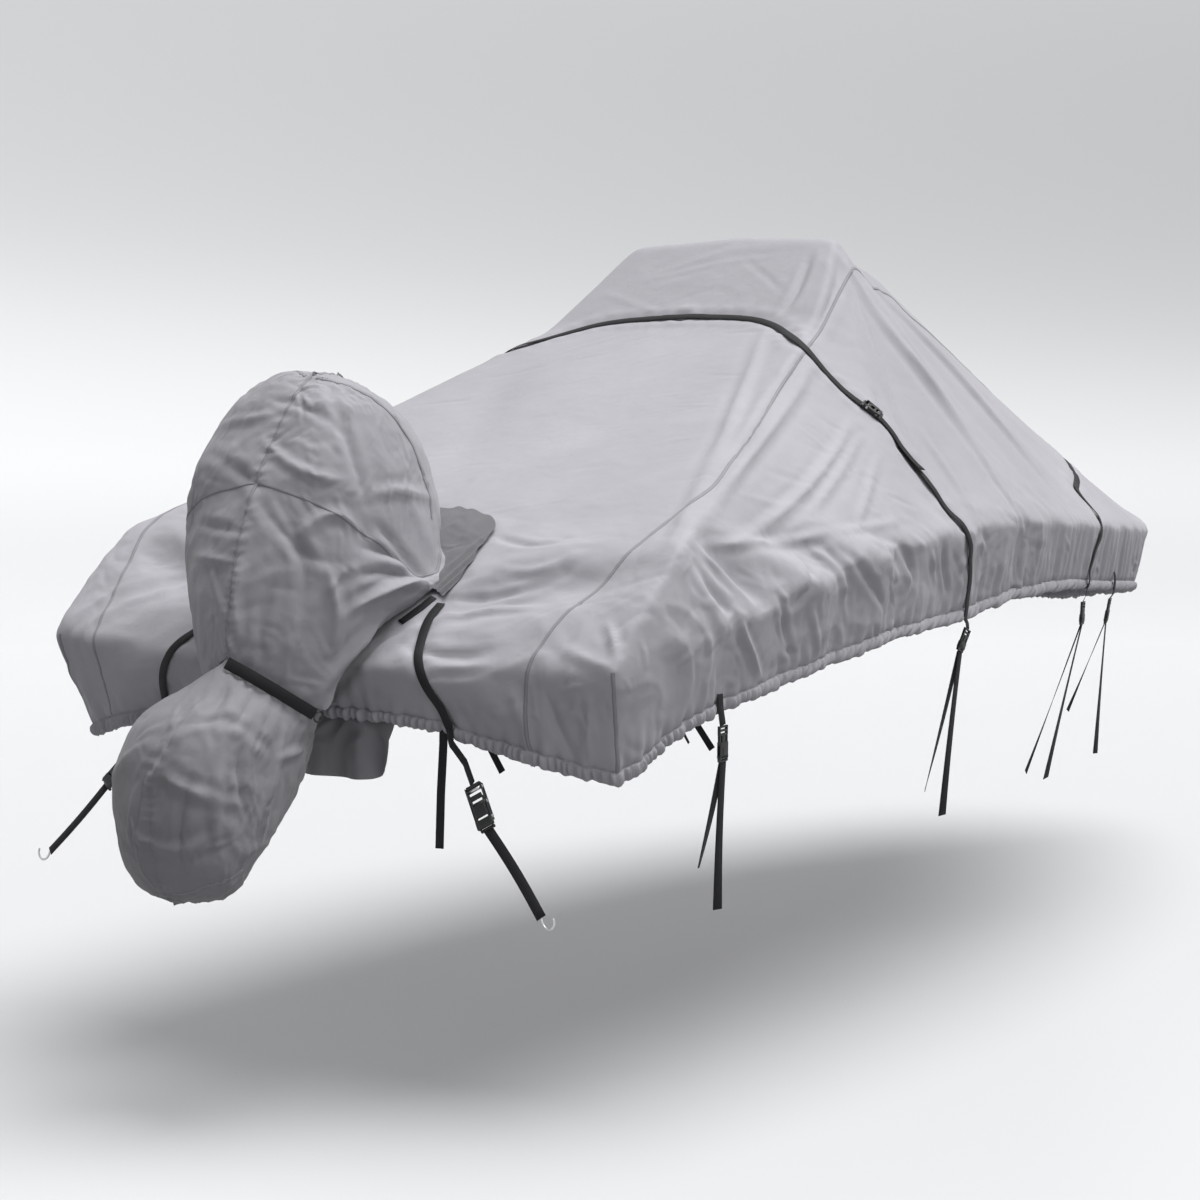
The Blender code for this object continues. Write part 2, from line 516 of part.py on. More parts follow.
def fold_shift(points, on_deck):
    """How far the folds push each point out along its normal."""
    x, y, z = points.T
    outboard = np.abs(x)
    faces = {"side": (y, z), "deck": (outboard, y), "transom": (outboard, z)}
    on_transom = y < 0.09 + 0.1 * np.clip((outboard - 0.66) / 0.2, 0, 1)
    allowed = {"side": ~on_deck & ~on_transom, "deck": on_deck & ~on_transom,
               "transom": on_transom}
    shift = np.zeros(len(points))
    for fold in FOLDS:
        a, b = faces[fold.face]
        start = np.array([fold.start_a, fold.start_b])
        run = np.array([fold.end_a, fold.end_b]) - start
        t = np.clip(((a - start[0]) * run[0] + (b - start[1]) * run[1]) / (run @ run), 0, 1)
        off = np.hypot(a - start[0] - t * run[0], b - start[1] - t * run[1])
        shape = np.exp(-(off / fold.width)**2) * np.sin(np.pi * (0.08 + 0.84 * t))
        shift += fold.depth * shape * allowed[fold.face]
    return shift


def row_stations():
    """Stations of the rows: every section of the table, and even steps between them."""
    along = arc_lengths(np.array(SECTIONS)[:, 5:7])
    stations = [0.0]
    for start, end in zip(along[:-1], along[1:]):
        steps = max(1, round((end - start) / ROW_STEP))
        stations += list(np.linspace(start, end, steps + 1)[1:])
    return np.array(stations) / along[-1]


def half_cover(rows, side):
    """The starboard half from stern to bow; the port half has its seam further outboard."""
    rows = rows.copy()
    if side < 0:
        lopsided = np.clip(LOPSIDED - rows[:, 6], 0, 1)
        rows[:, -1] += PORT_SEAM * lopsided
        rows[:, 2] += PORT_FULL * lopsided
        rows[:, 5] += PORT_FULL * lopsided
    half = np.stack([section_curve(row) for row in rows])
    skirt = COLUMNS[2]
    rail_run = arc_lengths(half[:, -skirt - 1])
    wave = np.sin(2 * np.pi * rail_run / SKIRT_WAVE) * np.minimum(1, rail_run / SKIRT_FADE)
    for k in range(1, skirt + 1):
        half[:, -skirt - 1 + k, 0] += wave * SKIRT_DEPTH * math.sin(math.pi * (0.15 + 0.7 * k / skirt))
    half[-1, :, 0] = 0
    return half


def build_cover():
    """The whole cover as one cloth, with its three panels cut from it."""
    rows = section_rows(row_stations())
    cloth = Cloth()
    deck = COLUMNS[0]
    for side, panel in ((1, "starboard"), (-1, "port")):
        half = half_cover(rows, side)
        back = transom_grid(half[0])
        turn = np.array([side, 1, 1])
        flip = side < 0
        cloth.add_grid(half[:, :deck + 1] * turn, "centre", flip)
        cloth.add_grid(half[:, deck:] * turn, panel, flip)
        cloth.add_grid(back[:, :deck + 1] * turn, "centre", not flip)
        cloth.add_grid(back[:, deck:] * turn, panel, not flip)
    cloth.finish()
    table = np.array(SECTIONS)
    edge_x = np.interp(cloth.points[:, 1], table[:, 3], table[:, 2])
    on_deck = np.abs(cloth.points[:, 0]) < edge_x - 0.01
    cloth.points += cloth.normals() * fold_shift(cloth.points, on_deck)[:, None]
    for owner, name in (("centre", "cover_centre_panel"), ("starboard", "cover_starboard_panel"),
                        ("port", "cover_port_panel")):
        cloth.panel(owner, name)
    return cloth


# ---------------------------------------------------------------- the hood

def ring_curve(ring, count, half_width):
    """Half of a hood ring, from its aft point round one side to its fore point."""
    aft = np.array([0, ring.aft_y, ring.aft_z])
    fore = np.array([0, ring.fore_y, ring.fore_z])
    middle = aft + (fore - aft) * ring.widest
    angle = np.linspace(0, math.pi, 120)
    reach = np.abs(np.cos(angle))
    wide = np.sin(angle)
    behind = angle < math.pi / 2
    square = np.where(behind, ring.aft_square, ring.fore_square)
    reach, wide = reach**(2 / square), wide**(2 / square)
    end = np.where(behind[:, None], aft, fore)
    path = middle + (end - middle) * reach[:, None]
    path[:, 0] = half_width * wide
    path[:, 2] -= ring.dip * wide
    path[0], path[-1] = aft, fore
    return read_path(path, np.linspace(0, arc_lengths(path)[-1], count + 1))


def hood_line(table, share, widen):
    """The yoke seam or the lower edge, read at shares of the way round one half."""
    table = np.array(table)
    line = np.stack([smooth_through(table[:, 0], table[:, k], share) for k in (1, 2, 3)], axis=1)
    line[:, 0] *= widen
    return line


def hood_side(yoke, share, widen):
    """One side panel of the hood, from the yoke seam down to its lower edge."""
    lower = hood_line(HOOD_EDGE, share, widen)
    outwards = yoke - yoke.mean(axis=0) * np.array([0, 1, 0])
    outwards[:, 2] = 0
    outwards /= np.linalg.norm(outwards, axis=1)[:, None]
    rows = []
    for t in np.linspace(0, 1, HOOD_ROWS + 1):
        bulge = HOOD_BULGE * math.sin(math.pi * t) * (1 - share**3)
        row = yoke + (lower - yoke) * t + outwards * bulge[:, None]
        row[0, 0] = row[-1, 0] = 0
        rows.append(row)
    return np.array(rows)


def sleeve_top(widen):
    """The sleeve's top edge: along the hood's lower edge, then across in front of the motor."""
    share = np.linspace(0, 1, HOOD_COLUMNS + 1)[:SLEEVE_SEWN + 1]
    path = np.vstack([hood_line(HOOD_EDGE, share, widen) - [0, 0, SLEEVE_DROP], SLEEVE_FRONT])
    return read_path(path, np.linspace(0, arc_lengths(path)[-1], HOOD_COLUMNS + 1))


def build_hood(cover_tree):
    hood, leg = Cloth(), Cloth()
    share = np.linspace(0, 1, HOOD_COLUMNS + 1)
    for sign, name in ((1, "starboard"), (-1, "port")):
        turn = np.array([sign, 1, 1])
        wide_yoke, wide_edge = (1.0, 1.0) if sign > 0 else (PORT_YOKE, PORT_EDGE)
        yoke = hood_line(HOOD_YOKE, share, wide_yoke)
        crown = [ring_curve(ring, HOOD_COLUMNS, getattr(ring, name)) for ring in HOOD_CROWN]
        sleeve = [ring_curve(ring, HOOD_COLUMNS, getattr(ring, name)) for ring in LEG_SLEEVE]
        hood.add_grid(np.stack(crown + [yoke]) * turn, "crown_" + name, sign > 0)
        hood.add_grid(hood_side(yoke, share, wide_edge) * turn, "side_" + name, sign > 0)
        leg.add_grid(np.stack([sleeve_top(wide_edge)] + sleeve) * turn, name, sign > 0)
    hood.finish()
    leg.finish()
    x, y, z, reach, height = HOOD_LUMP
    away = np.linalg.norm(hood.points - np.array([x, y, z]), axis=1)
    hood.points[:, 2] += height * np.exp(-(away / reach)**2)
    hood.rest_on(cover_tree, HOOD_REACH)
    for part in ("crown", "side"):
        for name in ("starboard", "port"):
            hood.panel(part + "_" + name, "hood_" + part + "_" + name)
    for name in ("starboard", "port"):
        leg.panel(name, "leg_sleeve_" + name)
    return hood, leg


def build_flap(flap, cover_tree):
    """A loose flap: a grid between its upper and lower edges, bellied in the middle."""
    columns = flap.steps + 1
    edges = []
    for places in (flap.upper, flap.lower):
        places = np.array(places)
        marks = np.linspace(0, arc_lengths(places)[-1], columns)
        edges.append(read_path(places, marks))
    upper, lower = edges
    across = np.sin(np.pi * np.linspace(0, 1, columns))[:, None]
    grid = []
    for v in np.linspace(0, 1, FLAP_ROWS + 1):
        grid.append(upper + (lower - upper) * v + across * np.array(flap.belly) * math.sin(math.pi * v / 2))
    cloth = Cloth()
    cloth.add_grid(grid, "flap", not flap.rests)
    cloth.finish()
    if flap.rests:
        cloth.rest_on(cover_tree, FLAP_REACH)
    cloth.panel("flap", flap.name)


# ---------------------------------------------------------------- webbing, buckles and hooks

def lay_on(route, trees, size, fall=(), lead=()):
    """Sample a route in even steps, lift it clear of the cloth, and let its ends hang free."""
    route = np.array(route, float)
    total = arc_lengths(route)[-1]
    count = max(2, int(round(total / STEP)))
    marks = arc_lengths(route)
    even = np.linspace(0, total, count + 1)
    path = np.stack([smooth_through(marks, route[:, k], even) for k in range(3)], axis=1)
    points, faces = [], []
    for point in path:
        location, normal = nearest(trees, point)
        points.append(location + normal * (REST_GAP + size[1] / 2))
        faces.append(normal)
    points = [Vector(point) for point in lead] + points + [Vector(point) for point in fall]
    faces = faces[:1] * len(lead) + faces + faces[-1:] * len(fall)
    for _ in range(EASE_ROUNDS):
        before, after = faces[:1] + faces[:-1], faces[1:] + faces[-1:]
        faces = [(a + 2 * b + c).normalized() for a, b, c in zip(before, faces, after)]
    for _ in range(LIFT_ROUNDS):
        lift_clear(points, faces, trees, size)
    return points, faces


def ribbon_frames(points, faces):
    """The directions across and up at each point of a band of webbing."""
    frames = []
    for k, point in enumerate(points):
        ahead = (points[min(k + 1, len(points) - 1)] - points[max(k - 1, 0)]).normalized()
        across = ahead.cross(faces[k]).normalized()
        frames.append((across, across.cross(ahead).normalized()))
    return frames


def lift_clear(points, faces, trees, size):
    """Raise both ends of each piece of webbing that comes too near the cloth under it."""
    lifts = [0.0] * len(points)
    frames = ribbon_frames(points, faces)
    for k in range(len(points) - 1):
        for shares in LIFT_LINES:
            ends = [point + across * share * size[0] / 2 - up * size[1] / 2
                    for point, (across, up), share in zip(points[k:k + 2], frames[k:k + 2], shares)]
            for along in LIFT_ALONG:
                probe = ends[0].lerp(ends[1], along)
                spot, facing = nearest(trees, probe)
                away = probe - spot
                height = away.dot(facing)
                if away.length > max(PAST_EDGE, BESIDE * abs(height)):
                    height = away.length
                lifts[k] = max(lifts[k], REST_GAP - height)
                lifts[k + 1] = max(lifts[k + 1], REST_GAP - height)
    for k, lift in enumerate(lifts):
        points[k] += faces[k] * lift * LIFT_SHARE


def nearest(trees, point):
    hits = [tree.find_nearest(Vector(point)) for tree in trees]
    location, normal, _, _ = min(hits, key=lambda hit: hit[3])
    return location, normal


def swept(name, rings, roughness):
    """One closed body through rings of corners, with a flat face over each end.

    Both broad sides are split along the same diagonal, so a twisted band keeps its thickness."""
    sides = len(rings[0])
    faces = [tuple(range(sides))]
    for k in range(len(rings) - 1):
        low, high = sides * k, sides * k + sides
        for a in range(sides):
            b = (a + 1) % sides
            if a < sides // 2:
                faces += [(low + a, high + a, high + b), (low + a, high + b, low + b)]
            else:
                faces += [(low + a, high + a, low + b), (high + a, high + b, low + b)]
    last = sides * (len(rings) - 1)
    faces.append(tuple(last + a for a in reversed(range(sides))))
    mesh = bpy.data.meshes.new(name)
    mesh.from_pydata([tuple(corner) for ring in rings for corner in ring], [], faces)
    return add_object(name, mesh, DARK, roughness)


def ribbon(name, points, faces, size):
    """A flat band of webbing through the points, its broad side turned to each face."""
    wide, thick = size[0] / 2, size[1] / 2
    outline = ((-wide, -thick), (wide, -thick), (wide, thick), (-wide, thick))
    rings = []
    for point, (across, up) in zip(points, ribbon_frames(points, faces)):
        rings.append([point + across * a + up * b for a, b in outline])
    return swept(name, rings, 0.7)


def build_block(name, top, foot, face, width, thickness):
    """A moulded buckle: a block with its long edges cut off, between its two ends."""
    along = (foot - top).normalized()
    across = along.cross(face).normalized()
    up = across.cross(along).normalized()
    wide, thick, cut = width / 2, thickness / 2, thickness * BUCKLE_ROUND
    outline = [(-wide, cut - thick), (cut - wide, -thick), (wide - cut, -thick), (wide, cut - thick),
               (wide, thick - cut), (wide - cut, thick), (cut - wide, thick), (-wide, thick - cut)]
    rings = [[end + across * a + up * b for a, b in outline] for end in (top, foot)]
    return swept(name, rings, 0.45)


def join_gap(along, ahead, face, width, thickness):
    """How far ahead the middle of a webbing end stands so that its corners just clear."""
    across = ahead.cross(face).normalized()
    up = across.cross(ahead)
    return JOIN_GAP + (abs(across.dot(along)) * width + abs(up.dot(along)) * thickness) / 2


def build_tie(points, faces, tie, side, end):
    """A buckle that hangs from the end of a strap, and the straight webbing under it."""
    buckle = BUCKLES[tie]
    foot, face = (Vector(place) for place in mirrored((buckle.foot, buckle.face), side))
    along = (foot - points[-1]).normalized()
    face = (face - along * face.dot(along)).normalized()
    came = (points[-1] - points[-2]).normalized()
    top = points[-1] + along * join_gap(along, came, faces[-1], *WEBBING)
    build_block(buckle.name + end, top, foot, face, buckle.width, buckle.thickness)
    for leg in LEGS:
        if leg.tie != tie:
            continue
        last, = (Vector(place) for place in mirrored((leg.foot,), side))
        start = foot + face * LAYER * leg.layer
        ahead = (last - start).normalized()
        start += along * join_gap(along, ahead, face, *WEBBING)
        points = [start.lerp(last, k / LEG_STEPS) for k in range(LEG_STEPS + 1)]
        ribbon(leg.name + end, points, [face] * len(points), WEBBING)
    return last, ahead


def build_wire(name, places, radius, colour, metallic, closed):
    """Round wire through the places: a hook, or a ring when it is closed."""
    curve = bpy.data.curves.new(name, "CURVE")
    curve.dimensions = "3D"
    curve.bevel_depth = radius
    curve.bevel_resolution = 1
    curve.use_fill_caps = not closed
    spline = curve.splines.new("POLY")
    spline.use_cyclic_u = closed
    spline.points.add(len(places) - 1)
    for point, place in zip(spline.points, places):
        point.co = (*place, 1)
    obj = bpy.data.objects.new(name, curve)
    obj.location = -Vector(CROWN)
    curve.materials.append(material(name + "_finish", colour, 0.4, metallic))
    COLLECTION.objects.link(obj)


def ring_places(centre, across, up, reach, count):
    """Points of a circle in the plane of two directions."""
    turns = [2 * math.pi * i / count for i in range(count)]
    return [centre + (across * math.cos(turn) + up * math.sin(turn)) * reach for turn in turns]


def mirrored(points, side):
    return [(x * side, y, z) for x, y, z in points]


def build_cam_buckle(points, faces):
    """The cam buckle on the crown strap, and the strap's loose tail below it."""
    place = Vector(CAM_BUCKLE)
    k = min(range(len(points)), key=lambda i: (points[i] - place).length)
    step = WEBBING[1] + JOIN_GAP
    tail = [point + face * step for point, face in zip(points[k + 1:], faces[k + 1:])][:CAM_TAIL]
    ribbon("crown_strap_tail", tail, faces[k + 1:k + 1 + CAM_TAIL], WEBBING)
    length, width, thickness = CAM_SIZE
    along = (points[k + 1] - points[k - 1]).normalized() * length / 2
    middle = points[k] + faces[k] * (WEBBING[1] / 2 + JOIN_GAP + thickness / 2)
    build_block("crown_strap_buckle", middle - along, middle + along, faces[k], width, thickness)


def build_waist(trees):
    """The hood's waist strap, with the ring at its end."""
    points, faces = lay_on(WAIST_STRAP, trees, WAIST_WEBBING)
    ribbon("waist_strap", points, faces, WAIST_WEBBING)
    ahead = (points[-1] - points[-2]).normalized()
    centre = points[-1] + ahead * (JOIN_GAP + RING_WIRE + RING_REACH)
    ring = ring_places(centre, ahead, ahead.cross(faces[-1]).normalized(), RING_REACH, RING_POINTS)
    build_wire("waist_ring", ring, RING_WIRE, DARK, 0.0, True)


def build_webbing(cover, hood, leg):
    cloth, inside = [cover.tree()], [cover.tree(inside=True)]
    for name, half, half_fall in (("crown", CROWN_STRAP, CROWN_FALL), ("bow", BOW_STRAP, BOW_FALL)):
        whole = mirrored(half[:0:-1], -1) + list(half)
        lead = mirrored(half_fall[::-1], -1)
        points, faces = lay_on(whole, cloth, WEBBING, half_fall, lead)
        ribbon(name + "_strap", points, faces, WEBBING)
        build_tie(points, faces, name, 1, "_starboard")
        build_tie(points[::-1], faces[::-1], name, -1, "_port")
        if name == "crown":
            build_cam_buckle(points, faces)
    build_waist([hood.tree(), leg.tree()])
    ribbon("hood_front_strap", *lay_on(FRONT_STRAP, cloth, WEBBING), WEBBING)
    for side, end in ((1, "_starboard"), (-1, "_port")):
        spread, fall = (1.0, STERN_FALL) if side > 0 else (PORT_SPREAD, PORT_FALL)
        route = [(x * spread, y, z) for x, y, z in mirrored(STERN_STRAP, side)]
        points, faces = lay_on(route, cloth, WEBBING, mirrored(fall, side))
        ribbon("stern_strap" + end, points, faces, WEBBING)
        last, ahead = build_tie(points, faces, "stern", side, end)
        start = last + ahead * (JOIN_GAP + HOOK_WIRE * HOOK_LEAN)
        hook = [start + Vector(place) for place in mirrored(STERN_HOOK, side)]
        build_wire("stern_hook" + end, hook, HOOK_WIRE, STEEL, 1.0, False)
        for tie, tab, fall in (("stem", STEM_TAB, STEM_FALL), ("quarter", QUARTER_TAB, QUARTER_FALL)):
            points, faces = lay_on(mirrored(tab, side), cloth, WEBBING, mirrored(fall, side))
            ribbon(tie + "_tie_tab" + end, points, faces, WEBBING)
            build_tie(points, faces, tie, side, end)
        tail = lay_on(mirrored(HEM_TAIL, side), inside, WEBBING, mirrored(HEM_TAIL_FALL, side))
        ribbon("stern_hem_tail" + end, *tail, WEBBING)


def main():
    clear_scene()
    cover = build_cover()
    cover_tree = cover.tree()
    hood, leg = build_hood(cover_tree)
    for flap in FLAPS:
        build_flap(flap, cover_tree)
    build_webbing(cover, hood, leg)


COLLECTION = bpy.data.collections.new("boat_cover")
bpy.context.scene.collection.children.link(COLLECTION)
main()
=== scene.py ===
# %% [markdown]
# # A fitted boat cover with its outboard hood
#
# The cover hangs as it would over a small motor boat. The boat itself isn't modelled, so
# what holds the shape is the cloth's own form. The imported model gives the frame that
# everything rides on. This script replaces its plain solids with thin, creased cloth, ribbed
# webbing and moulded buckles. Sizes are in metres.

# %% Load the frame
import json
import math
from collections import namedtuple

import bmesh
import bpy
import numpy as np
from mathutils import Matrix, Vector, noise
from mathutils.bvhtree import BVHTree

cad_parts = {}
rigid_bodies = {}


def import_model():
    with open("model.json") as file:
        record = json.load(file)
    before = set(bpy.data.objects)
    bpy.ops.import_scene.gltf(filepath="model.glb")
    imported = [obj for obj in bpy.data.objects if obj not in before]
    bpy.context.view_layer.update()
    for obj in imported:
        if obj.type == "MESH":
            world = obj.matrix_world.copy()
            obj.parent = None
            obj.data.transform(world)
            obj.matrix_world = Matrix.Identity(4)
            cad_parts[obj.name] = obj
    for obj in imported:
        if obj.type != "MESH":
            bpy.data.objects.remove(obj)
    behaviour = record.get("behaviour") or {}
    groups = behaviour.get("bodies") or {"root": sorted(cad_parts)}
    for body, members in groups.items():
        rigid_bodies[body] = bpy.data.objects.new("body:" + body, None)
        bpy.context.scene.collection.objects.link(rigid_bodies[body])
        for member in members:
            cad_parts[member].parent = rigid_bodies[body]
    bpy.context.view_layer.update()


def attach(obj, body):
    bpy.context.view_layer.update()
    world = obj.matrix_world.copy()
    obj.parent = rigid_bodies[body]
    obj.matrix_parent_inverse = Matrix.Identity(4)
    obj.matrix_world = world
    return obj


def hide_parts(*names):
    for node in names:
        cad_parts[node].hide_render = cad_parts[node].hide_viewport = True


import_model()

NOISE_SEED = 5                   # without one, the noise differs at every run
noise.seed_set(NOISE_SEED)

# %% [markdown]
# ## The camera
#
# It stands behind the starboard quarter, a little above the rail, with a long lens. A long
# lens from far away keeps the bow from shrinking too much. The tables of this script measure
# x to starboard, y towards the bow and z up from the ground. The frame's origin lies under
# the crown of the cover, so every point is shifted by CROWN at the end.

# %% Camera
CROWN = np.array([0.0, 2.118, 2.2105])  # the frame's origin, in the tables' measure
EYE = (4.057, -4.683, 1.668)
TURN = math.radians(33.865)      # how far the view turns to port of straight ahead
TILT = math.radians(4.2345)      # how far it looks down
LENS, SENSOR = 75.54, 36.0       # millimetres
FRAME_PIXELS = 1200              # the frame's width and height


def placed(point):
    """A point of the tables, in the frame."""
    return Vector(np.asarray(point, float) - CROWN)


def solid_tree(start):
    """The frame's solids whose names begin alike, in the tables' measure, for casting rays."""
    corners, faces = [], []
    for solid in (solid for solid in bpy.data.objects if solid.name.startswith(start)):
        faces += [[k + len(corners) for k in face.vertices] for face in solid.data.polygons]
        corners += [Vector(CROWN) + solid.matrix_world @ vert.co for vert in solid.data.vertices]
    return BVHTree.FromPolygons(corners, faces)


def seen(tree, column, row):
    """The place on a cloth or a solid that the camera sees at a pixel of its frame."""
    right = look.cross(Vector((0, 0, 1))).normalized()
    aside, above = column - FRAME_PIXELS / 2, FRAME_PIXELS / 2 - row
    way = look + (right * aside + right.cross(look) * above) * (SENSOR / LENS / FRAME_PIXELS)
    return tree.ray_cast(Vector(EYE), way.normalized())[0]


COVER_SOLID = solid_tree("cover_")
HOOD_SOLID = solid_tree(("hood_crown_", "hood_side_"))
SLEEVE_SOLID = solid_tree("leg_sleeve_")
camera = bpy.data.objects.new("camera", bpy.data.cameras.new("camera"))
camera.data.lens, camera.data.sensor_width = LENS, SENSOR
camera.data.clip_end = 100
camera.location = placed(EYE)
look = Vector((-math.sin(TURN) * math.cos(TILT), math.cos(TURN) * math.cos(TILT), -math.sin(TILT)))
camera.rotation_euler = look.to_track_quat("-Z", "Y").to_euler()
bpy.context.collection.objects.link(camera)
bpy.context.scene.camera = camera
print("camera at", tuple(round(c, 3) for c in camera.location))

# %% [markdown]
# ## The numbers behind the cover
#
# A row for each section of the cover from the stern fold to the stem: the deck's centre line,
# the ridge beside it, the fold over the boat's rail and the elastic hem. The sections could
# be drawn as curves and skinned by hand. A table keeps each one readable, and a smooth curve
# through its columns gives a surface at any fineness.

# %% Sections of the cover
Section = namedtuple("Section", "deck_y deck_z edge_x edge_y edge_z rail_x rail_y rail_z "
                                "hem_x hem_y hem_z seam")
SECTIONS = (
    Section(0.000, 1.060, 0.894, 0.084, 1.087, 0.895, 0.084, 1.083, 0.841, 0.175, 0.800, 0.755),
    Section(0.160, 1.170, 0.894, 0.220, 1.225, 0.915, 0.210, 1.105, 0.862, 0.262, 0.832, 0.700),
    Section(0.370, 1.320, 0.893, 0.370, 1.352, 0.932, 0.400, 1.135, 0.884, 0.420, 0.905, 0.685),
    Section(0.620, 1.440, 0.820, 0.620, 1.450, 0.950, 0.650, 1.185, 0.905, 0.650, 0.955, 0.700),
    Section(1.000, 1.600, 0.705, 1.000, 1.602, 0.975, 1.000, 1.262, 0.933, 1.000, 1.010, 0.620),
    Section(1.400, 1.775, 0.590, 1.400, 1.770, 0.988, 1.400, 1.320, 0.947, 1.400, 1.060, 0.500),
    Section(1.780, 1.935, 0.470, 1.780, 1.930, 0.989, 1.780, 1.348, 0.947, 1.780, 1.085, 0.400),
    Section(2.118, 2.226, 0.353, 2.118, 2.210, 0.982, 2.118, 1.360, 0.938, 2.118, 1.118, 0.330),
    Section(2.230, 2.172, 0.328, 2.230, 2.155, 0.978, 2.230, 1.358, 0.936, 2.230, 1.122, 0.320),
    Section(2.500, 2.100, 0.300, 2.500, 2.095, 0.955, 2.500, 1.340, 0.915, 2.500, 1.125, 0.300),
    Section(3.000, 1.955, 0.235, 3.000, 1.945, 0.895, 3.000, 1.310, 0.855, 3.000, 1.095, 0.280),
    Section(3.500, 1.800, 0.170, 3.500, 1.790, 0.770, 3.550, 1.280, 0.735, 3.550, 1.060, 0.260),
    Section(4.000, 1.625, 0.110, 4.000, 1.612, 0.600, 4.060, 1.252, 0.535, 3.990, 1.020, 0.260),
    Section(4.380, 1.484, 0.090, 4.380, 1.470, 0.430, 4.480, 1.244, 0.335, 4.260, 0.990, 0.260),
    Section(4.680, 1.405, 0.080, 4.690, 1.390, 0.265, 4.820, 1.250, 0.170, 4.400, 0.965, 0.260),
    Section(4.900, 1.372, 0.050, 4.920, 1.358, 0.115, 5.050, 1.252, 0.065, 4.510, 0.950, 0.260),
    Section(5.040, 1.332, 0.000, 5.060, 1.318, 0.000, 5.130, 1.252, 0.000, 4.550, 0.945, 0.260),
)
# The hem across the transom, by share of the way from the centre line to the corner.
TransomHem = namedtuple("TransomHem", "share x y z")
TRANSOM_HEM = (
    TransomHem(0.00, 0.000, 0.085, 0.925),
    TransomHem(0.25, 0.220, 0.085, 0.918),
    TransomHem(0.42, 0.380, 0.085, 0.908),
    TransomHem(0.55, 0.500, 0.085, 0.874),
    TransomHem(0.755, 0.658, 0.094, 0.847),
    TransomHem(1.00, 0.841, 0.175, 0.800),
)
CELL = 0.0075                    # size of one mesh cell along the rail
DECK, SIDE, SKIRT = 50, 54, 40   # mesh columns in each half: centre panel, side panel, skirt
RIDGE_REACH, FOLD_REACH = 0.035, 0.022  # how far ridges are rounded along and across
PORT_SEAM, PORT_FULL, LOPSIDED = 0.07, 0.025, 1.5  # how the port side differs near the stern
SKIRT_WAVE, SKIRT_DEPTH, SKIRT_FADE = 0.27, 0.008, 0.4  # shallow waves of the skirt
TRANSOM_BELLY = 0.012            # how far the cloth over the transom bellies aft
print(len(SECTIONS), "sections")

# %% [markdown]
# ## Helpers for smooth curves
#
# A monotone cubic passes through every point of a table and never overshoots between them,
# which a plain spline does at a sharp crown. A moving mean then rounds the ridges, since
# cloth never turns a knife edge.

# %% Curve helpers
def smooth_through(t, y, q):
    """Monotone cubic through the points (t, y), read at q."""
    t, y = np.asarray(t, float), np.asarray(y, float)
    step = np.diff(t)
    slope = np.diff(y) / step
    tangent = np.zeros(len(y))
    tangent[0], tangent[-1] = slope[0], slope[-1]
    same = slope[:-1] * slope[1:] > 0
    tangent[1:-1][same] = 2 * slope[:-1][same] * slope[1:][same] / (slope[:-1] + slope[1:])[same]
    i = np.clip(np.searchsorted(t, q, side="right") - 1, 0, len(t) - 2)
    s = (q - t[i]) / step[i]
    return ((2 * s**3 - 3 * s**2 + 1) * y[i] + (s**3 - 2 * s**2 + s) * step[i] * tangent[i]
            + (3 * s**2 - 2 * s**3) * y[i + 1] + (s**3 - s**2) * step[i] * tangent[i + 1])


def rounded(values, reach):
    """Moving mean over the neighbours within reach, with both ends kept."""
    lead = 2 * values[0] - values[reach:0:-1]
    tail = 2 * values[-1] - values[-2:-reach - 2:-1]
    padded = np.concatenate([lead, values, tail])
    kernel = np.ones(2 * reach + 1) / (2 * reach + 1)
    if values.ndim == 1:
        return np.convolve(padded, kernel, "valid")
    return np.stack([np.convolve(column, kernel, "valid") for column in padded.T], axis=1)


def arc_lengths(path):
    return np.concatenate([[0], np.cumsum(np.linalg.norm(np.diff(path, axis=0), axis=1))])


def read_path(path, marks):
    """Points of a path at the given arc lengths."""
    along = arc_lengths(path)
    return np.stack([np.interp(marks, along, column) for column in np.asarray(path).T], axis=1)


def even_steps(path, count):
    """Points that cut a path into a number of equal lengths."""
    return read_path(path, np.linspace(0, arc_lengths(path)[-1], count + 1))


def smooth_path(marks, points, at):
    """A smooth curve through points that lie at the given marks, read at other marks."""
    return np.stack([smooth_through(marks, column, at) for column in np.asarray(points).T], axis=1)


def refine(grid, rows, columns):
    """A finer grid through a coarse one, by a smooth curve along each way in turn."""
    grid = np.asarray(grid, float)
    for count in (rows, columns):
        coarse = np.linspace(0, 1, len(grid))
        fine = np.linspace(0, 1, count + 1)
        flat = grid.reshape(len(grid), -1)
        finer = smooth_path(coarse, flat, fine)
        grid = np.swapaxes(finer.reshape(count + 1, -1, 3), 0, 1)
    return grid


print("one third of the way:", float(smooth_through([0, 1, 2], [0, 1, 0], np.array([0.33]))[0]))
